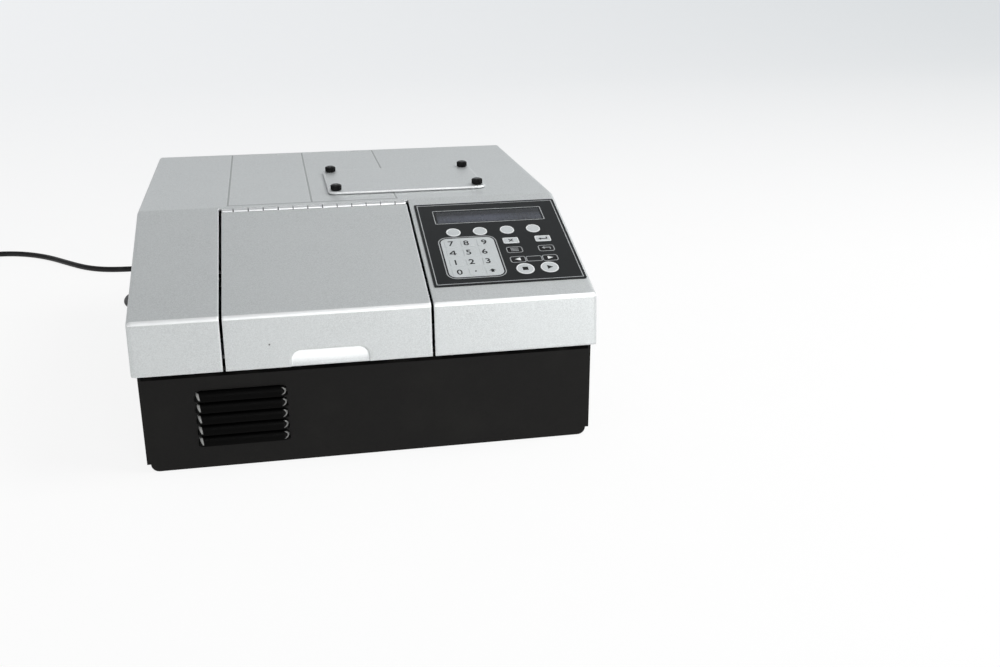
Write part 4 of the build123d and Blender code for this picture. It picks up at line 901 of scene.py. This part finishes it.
FUNCTION_KEYS = {  # across, down, width, height
    "clear": (133.3, 80.3, 14.2, 9.0),
    "enter": (162.6, 79.8, 14.2, 9.0),
    "menu": (133.7, 95.1, 12.6, 7.5),
    "previous": (162.4, 95.1, 12.6, 7.5),
    "left": (133.7, 110.3, 12.0, 7.4),
    "right": (162.4, 110.3, 12.0, 7.4),
}
BIG_KEYS = {"stop": (137.1, 125.0), "read": (158.6, 124.7)}
BIG_KEY_R = 7.9
SOFT_KEYS_X = (84.5, 108.6, 133.3, 157.4)
SOFT_KEY_DROP = 62.7
SOFT_KEY_R = 6.4
KEY_CORNER, KEY_RIM = 1.5, (-0.1, -0.75)  # a rim lies inside the key's edge
ROUND_RIM = (0.1, 0.95)
DARK_KEY_CORNER, DARK_KEY_LINES = 1.6, (0.95, 0.3)  # lines round a key, on the overlay
ARROW_LINK, ARROW_LINK_CORNER, ARROW_LINES = (148.05, 110.3, 13.4, 7.4), 1.2, (0.3, -0.3)
OVERLAY_BOX, OVERLAY_CORNER, OVERLAY_LINES = (55.5, 187.1, 13.3, 143.7), 1.5, (-2.2, -2.9)
DISPLAY_BOX, DISPLAY_CORNER, DISPLAY_LINES = (70.9, 171.4, 25.9, 47.5), 0.8, (0.35, -0.35)


def function_keys():
    """Generic symbols and outlines in place of the words on the keys."""
    dark, light, white = PRINT_DARK, PRINT_LIGHT, PRINT_WHITE
    at = {name: place[:2] for name, place in {**FUNCTION_KEYS, **BIG_KEYS}.items()}
    symbols = (
        ("clear", [CROSS], dark, "key_light"),
        ("enter", [ENTER_ARROW], dark, "key_light"),
        ("menu", BARS, light, "key_dark"),
        ("previous", [BACK_ARROW], light, "key_dark"),
        ("left", [LEFT_ARROW], white, "key_dark"),
        ("right", [RIGHT_ARROW], white, "key_dark"),
        ("stop", [SQUARE], dark, "key_light"),
        ("read", [PLAY], dark, "key_light"),
    )
    for name, outlines, material, slot in symbols:
        placed = [moved(outline, *at[name]) for outline in outlines]
        printed(f"symbol_{name}", placed, material, f"{name}_key_pad")
    for name in ("clear", "enter"):
        rim = ring(key_box(*FUNCTION_KEYS[name]), KEY_CORNER, *KEY_RIM)
        printed(f"rim_{name}", rim, white, f"{name}_key_pad")
    rounds = {f"{name}_key": (*place, BIG_KEY_R) for name, place in BIG_KEYS.items()}
    for i, x in enumerate(SOFT_KEYS_X):
        rounds[f"soft_key_{i + 1}"] = (x, SOFT_KEY_DROP, SOFT_KEY_R)
    for name, (x, down, radius) in rounds.items():
        rim = [circle(x, down, radius - inset) for inset in ROUND_RIM]
        printed(f"rim_{name}", rim, white, f"{name}_pad")
    for name in ("menu", "previous", "left", "right"):
        lines = ring(key_box(*FUNCTION_KEYS[name]), DARK_KEY_CORNER, *DARK_KEY_LINES)
        on_overlay(f"outline_{name}", lines)
    link = ring(key_box(*ARROW_LINK), ARROW_LINK_CORNER, *ARROW_LINES)
    on_overlay("outline_between_arrows", link)


def overlay_lines():
    """The thin frame inside the overlay's edge and the one round the display."""
    on_overlay("overlay_border", ring(OVERLAY_BOX, OVERLAY_CORNER, *OVERLAY_LINES))
    on_overlay("display_border", ring(DISPLAY_BOX, DISPLAY_CORNER, *DISPLAY_LINES))


number_pad()
function_keys()
overlay_lines()


# ---- knurled thumbscrews ----
KNOB_BASE = 185.5
KNOB_HEIGHT = 5.8
KNOB_R = 5.2
KNURLS = 36
KNURL_DEPTH = 0.28
KNOB_MIDDLE, KNOB_SPREAD = (56.1, 32.0), (67.9, 43.4)


def knurled(radius):
    """A toothed rim: every other point is cut in."""
    return lambda step: radius - (KNURL_DEPTH if step % 2 else 0.0)


def thumbscrew(bm, x, y):
    """A knurled head with a dished top, and the stud that goes down through the plate."""
    top = KNOB_HEIGHT
    rings = (
        (3.4, 0.0), (3.9, 0.35), (knurled(KNOB_R - 0.25), 0.6), (knurled(KNOB_R), 0.95),
        (knurled(KNOB_R), top - 1.1), (knurled(KNOB_R - 0.3), top - 0.75), (KNOB_R - 0.95, top - 0.25),
        (KNOB_R - 1.6, top), (KNOB_R - 2.3, top - 0.05), (KNOB_R - 2.6, top - 0.35),
    )
    lathe(bm, rings, shift(x, y, KNOB_BASE), 2 * KNURLS)
    stud = ((2.0, -8.0), (2.0, 0.2))
    lathe(bm, stud, shift(x, y, KNOB_BASE), 24)


def thumbscrews(bm):
    """One at each corner of the raised plate."""
    for i in (-1, 1):
        for j in (-1, 1):
            thumbscrew(bm, KNOB_MIDDLE[0] + i * KNOB_SPREAD[0], KNOB_MIDDLE[1] + j * KNOB_SPREAD[1])


knobs = case_piece("knurled_thumbscrews", thumbscrews, KNOB_PLASTIC)
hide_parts("thumbscrews")


# ---- grey strips along the seams between the top panels: painted shade of the seam gaps ----
BEAD_PROUD = 0.08
SEAM_FRONT_Y = -43.5
SEAM_REAR_Y = 201.0
SEAMS_X = (-111.7, -36.3, 42.0)
SEAM_HALF = 0.9
FRONT_SEAM_HALF = 1.3


def bead(bm, start, end, half):
    """A low crowned bead from one place on the top to another."""
    along = Vector((end[0] - start[0], end[1] - start[1], 0)).normalized()
    side = Vector((-along.y, along.x, 0))
    section = ((-half, 0.0), (-0.6 * half, BEAD_PROUD), (0.6 * half, BEAD_PROUD), (half, 0.0))
    loops = []
    for point in (start, end):
        centre = Vector((*point, TOP))
        loops.append(corners(bm, [centre + side * out + Vector((0, 0, up)) for out, up in section]))
    close(bm, loops)


def seam_shade_strips(bm):
    """Grey beads along the seams, and one across their front ends, as painted shade of the gaps."""
    for x in SEAMS_X:
        bead(bm, (x, SEAM_FRONT_Y), (x, SEAM_REAR_Y), SEAM_HALF)
    left, right = SEAMS_X[0] - SEAM_HALF, SEAMS_X[-1] + SEAM_HALF
    bead(bm, (left, SEAM_FRONT_Y), (right, SEAM_FRONT_Y), FRONT_SEAM_HALF)


# a grey that stands in for the shade in the seam gaps
SEAM_SHADE_GREY = moulded("painted_seam_shade", colour(158, 161, 161), 0.7, 0.02, 0.5, 0.05, 0.05)
case_piece("painted_seam_shade", seam_shade_strips, SEAM_SHADE_GREY)


# ---- a black strip on the base's front, just under the cover's lip: painted shadow of the lip ----
BASE_FRONT_Y = -203.0
LIP_SHADOW_HALF = 184.0
LIP_SHADOW_SECTION = ((0.0, 86.2), (-0.45, 86.0), (-0.45, 81.3), (-0.3, 80.9), (0.0, 80.7))  # forward, height


def lip_shadow_strip(bm):
    """A thin black strip with a rounded front, along the whole front of the base: a painted shadow of the
    cover's lip.
    """
    ends = (-LIP_SHADOW_HALF, LIP_SHADOW_HALF)
    close(bm, [corners(bm, [(x, BASE_FRONT_Y + out, z) for out, z in LIP_SHADOW_SECTION]) for x in ends])


# black that stands in for the lip's shadow
LIP_SHADOW_BLACK = moulded("painted_lip_shadow", colour(5, 5, 5), 0.8, 0.05, 0.9, 0.05, 0.1, 0.05)
case_piece("lip_shadow_strip", lip_shadow_strip, LIP_SHADOW_BLACK)


# ---- on the cord: its tie, and the ribs of both strain reliefs ----
TIE_ANGLE = math.radians(35)
TIE_WIDTH = 12.0
TIE_THICK = 0.7
TIE_REACH = (22.9, 45.9)  # inner and outer, over the coil
TIE_HEIGHTS = (0.05, 14.3)
TIE_CORNER = 4.5


def coil_tie(bm):
    """A hook-and-loop strap round the coil's turns."""
    place = shift(*COIL_CENTRE, 0) @ Matrix.Rotation(TIE_ANGLE, 4, "Z")
    inner, outer = TIE_REACH
    low, high = TIE_HEIGHTS
    face, back = (
        rounded(inner + thick, outer - thick, thick - high, -(low + thick), TIE_CORNER, 8)
        for thick in (0.0, TIE_THICK)
    )
    half = TIE_WIDTH / 2
    loops = []
    for outline, side in ((face, -half), (face, half), (back, half), (back, -half)):
        loops.append([bm.verts.new(place @ (Vector((r, side, z)) * MM)) for r, z in outline])
    join(bm, loops + loops[:1])


tie = case_piece("coil_tie", coil_tie, TIE_WEAVE)

INLET, PLUG_END = (-66.0, 40.0), (-571.0, 9.0)  # x and z
CONNECTOR_RELIEF = (235.5, 261.0, 6.5, 4.1)  # from y, to y, and the radius at each
PLUG_RELIEF = (592.0, 618.0, 4.1, 6.0)
RIB_PITCH = 3.4
RIB_SECTION = ((-0.5, -1.0), (0.1, -0.85), (0.45, -0.45), (0.45, 0.45), (0.1, 0.85), (-0.5, 1.0))


def relief_ribs(bm, x, z, span):
    """Raised rings along a tapered sleeve."""
    start, end, first, last = span
    count = int((end - start - 4) / RIB_PITCH)
    for i in range(count):
        y = start + 3.0 + i * RIB_PITCH
        radius = part_way((y - start) / (end - start), (first, last))
        rings = [(radius + proud, along) for proud, along in RIB_SECTION]
        lathe(bm, rings, shift(x, y, z) @ TO_THE_BACK, 32)


def both_reliefs(bm):
    """The sleeves at the machine's inlet and at the plug."""
    relief_ribs(bm, *INLET, CONNECTOR_RELIEF)
    relief_ribs(bm, *PLUG_END, PLUG_RELIEF)


ribs = case_piece("strain_relief_ribs", both_reliefs, FINISHES["black_plastic"])


# ---- fasteners and socket faces at the back ----
REAR_Y = 201.5


def pan_head(bm, x, y, z, radius=2.8, height=1.7):
    """A crowned screw head with a cross recess, facing the back."""
    recess = 0.42 * radius

    def crossed(step):
        return recess if step % 8 < 2 or step % 8 > 6 else 0.45 * recess

    rings = (
        (radius, 0.0), (radius, 0.45 * height), (0.88 * radius, 0.8 * height),
        (0.6 * radius, height), (crossed, height), (crossed, 0.35 * height),
    )
    lathe(bm, rings, shift(x, y, z) @ TO_THE_BACK, 32)


FAN_X, FAN_Z, FAN_SPREAD = 120, 46, 25
INLET_PROUD, INLET_SPREAD = 2, 13.6
BASE_SCREWS_X, BASE_SCREWS_Z = (-176, 176), (18, 84)
FLOOR_SCREWS_X = (-90, 70)
SCREW_PLACES = (
    [(FAN_X + i * FAN_SPREAD, REAR_Y, FAN_Z + j * FAN_SPREAD) for i in (-1, 1) for j in (-1, 1)]
    + [(INLET[0] + i * INLET_SPREAD, REAR_Y + INLET_PROUD, INLET[1]) for i in (-1, 1)]
    + [(x, REAR_Y, z) for x in BASE_SCREWS_X for z in BASE_SCREWS_Z]
    + [(x, REAR_Y, BASE_SCREWS_Z[0]) for x in FLOOR_SCREWS_X]
)


def rear_screws(bm):
    """Round the fan, beside the inlet and along the base."""
    for place in SCREW_PLACES:
        pan_head(bm, *place)


case_piece("rear_screws", rear_screws, SCREW_STEEL)

SOCKET_X = 30.0
SOCKET_PROUD = 6.0
SOCKETS = ((55.0, 13), (28.0, 5))  # height, and contacts in the longer of its two rows
CONTACT_PITCH = 2.77
ROW_HALF = 1.4  # half the distance between the rows
WELL = ((0.75, -0.6), (0.75, 0.02), (0.45, 0.02), (0.4, -0.5))


def contact_rows(bm):
    """The contact holes of the two D-shaped sockets, as small rimmed wells."""
    for z, long_row in SOCKETS:
        for above, count in ((ROW_HALF, long_row), (-ROW_HALF, long_row - 1)):
            for i in range(count):
                x = SOCKET_X + (i - (count - 1) / 2) * CONTACT_PITCH
                facing = shift(x, REAR_Y + SOCKET_PROUD, z + above) @ TO_THE_BACK
                lathe(bm, WELL, facing, 14)


case_piece("socket_contacts", contact_rows, SOCKET_GOLD)


# ---- the room: pale floor and backdrop, in metres ----
FLOOR_HALF = 4.5
BACKDROP_Y = 3.4
SWEEP_R = 1.2
SWEEP_STEPS = 12
BACKDROP_TOP = 4.0
FLOOR_SHADOW_SHARE = 0.12  # how much of the seen floor is lit, and so takes a shadow
SHADE_DEPTH = (0.3, 3.2)  # painted shade on the paper: it turns greyer from front to back between these
SHADE_ACROSS = (-2.2, 2.4)  # and, at the back, from left to right


def backdrop_mesh(bm):
    """A floor that turns up into a wall at the back."""
    profile = [(-FLOOR_HALF, 0.0), (BACKDROP_Y - SWEEP_R, 0.0)]
    for step in range(1, SWEEP_STEPS + 1):
        angle = math.radians(90 * step / SWEEP_STEPS)
        y = BACKDROP_Y - SWEEP_R + SWEEP_R * math.sin(angle)
        profile.append((y, SWEEP_R - SWEEP_R * math.cos(angle)))
    profile.append((BACKDROP_Y, BACKDROP_TOP))
    rows = [[bm.verts.new((x, y, z)) for y, z in profile] for x in (-FLOOR_HALF, FLOOR_HALF)]
    for a, b, c, d in zip(rows[0], rows[0][1:], rows[1][1:], rows[1]):
        bm.faces.new((a, b, c, d))


def seen_ray(finish):
    """1 for camera, glossy and transmission rays, which see the background's own colour."""
    path = finish.add("LightPath").outputs
    seen = finish.maths("MAXIMUM", path["Is Camera Ray"], path["Is Glossy Ray"])
    return finish.maths("MAXIMUM", seen, path["Is Transmission Ray"])


def backdrop_material():
    """White paper: lit like paper, with part of what the camera sees held at its own white."""
    finish = Finish("paper")
    x, y, _ = finish.axes()
    rise = finish.between(y, *SHADE_DEPTH)
    across = finish.between(x, *SHADE_ACROSS)
    # painted shade: the paper greyer at the back, most of all at the right
    far = finish.mix(across, colour(252, 253, 255), colour(221, 225, 228))
    paper_shade = finish.mix(rise, colour(255, 255, 255), far)
    paper = finish.mix(finish.noise(60, 3), colour(244, 244, 243), colour(250, 250, 249))
    finish.done(paper, 0.9)
    own = finish.add("Emission")
    finish.put(own.inputs["Color"], paper_shade)
    share = finish.maths("MULTIPLY", seen_ray(finish), 1 - FLOOR_SHADOW_SHARE)
    both = finish.fade(share, finish.shader.outputs[0], own.outputs[0])
    finish.put(finish.output.inputs[0], both)
    return finish.material


def make_room():
    """The sheet of paper that the machine stands on, which isn't part of the model."""
    mesh = mesh_from("paper_sweep", backdrop_mesh, outward=False)
    mesh.shade_smooth()
    mesh.materials.append(backdrop_material())
    new_object("paper_sweep", mesh)


make_room()


# ---- light, in metres ----
LIT_PLACE = (0.0, 0.0, 0.12)


def area_light(name, place, size, watts):
    """A white softbox that points at the machine."""
    data = bpy.data.lights.new(name, "AREA")
    data.shape = "RECTANGLE"
    data.size, data.size_y = size
    data.energy = watts
    lamp = new_object(name, data)
    lamp.location = place
    aim = Vector(LIT_PLACE) - Vector(place)
    lamp.rotation_euler = aim.to_track_quat("-Z", "Y").to_euler()


area_light("upper_right_softbox", (1.2, -0.4, 1.55), (1.0, 1.0), 23.0)
area_light("front_softbox", (0.42, -2.35, 1.2), (1.0, 0.35), 11.0)
area_light("low_right_softbox", (0.85, -1.8, 0.2), (0.6, 0.35), 6.0)
area_light("left_strip", (-1.7, -0.6, 0.35), (0.25, 0.9), 3.0)
area_light("right_strip", (1.7, 0.15, 0.22), (0.25, 0.6), 3.0)

HORIZON_STRENGTH = 0.42
ZENITH_STRENGTH = 0.29
SKY_FADE = (0.2, 0.75)  # it darkens while a direction's upward part goes from one to the other


def make_world():
    """A room that is bright at eye level and darker overhead; the camera sees pale paper."""
    world = bpy.data.worlds.new("studio")
    bpy.context.scene.world = world
    nodes = Nodes(world)
    output = nodes.add("OutputWorld")
    parts = nodes.add("SeparateXYZ")
    nodes.put(parts.inputs[0], nodes.add("TexCoord").outputs["Generated"])
    strength = nodes.between(parts.outputs[2], *SKY_FADE, HORIZON_STRENGTH, ZENITH_STRENGTH)
    around = nodes.put_all(nodes.add("Background"), ((0.96, 0.98, 1.0, 1.0), strength))
    seen = nodes.put_all(nodes.add("Background"), (colour(249, 250, 252),))
    camera_ray = nodes.add("LightPath").outputs["Is Camera Ray"]
    nodes.put(output.inputs[0], nodes.fade(camera_ray, around, seen))


make_world()
bpy.context.scene.view_settings.view_transform = "Standard"
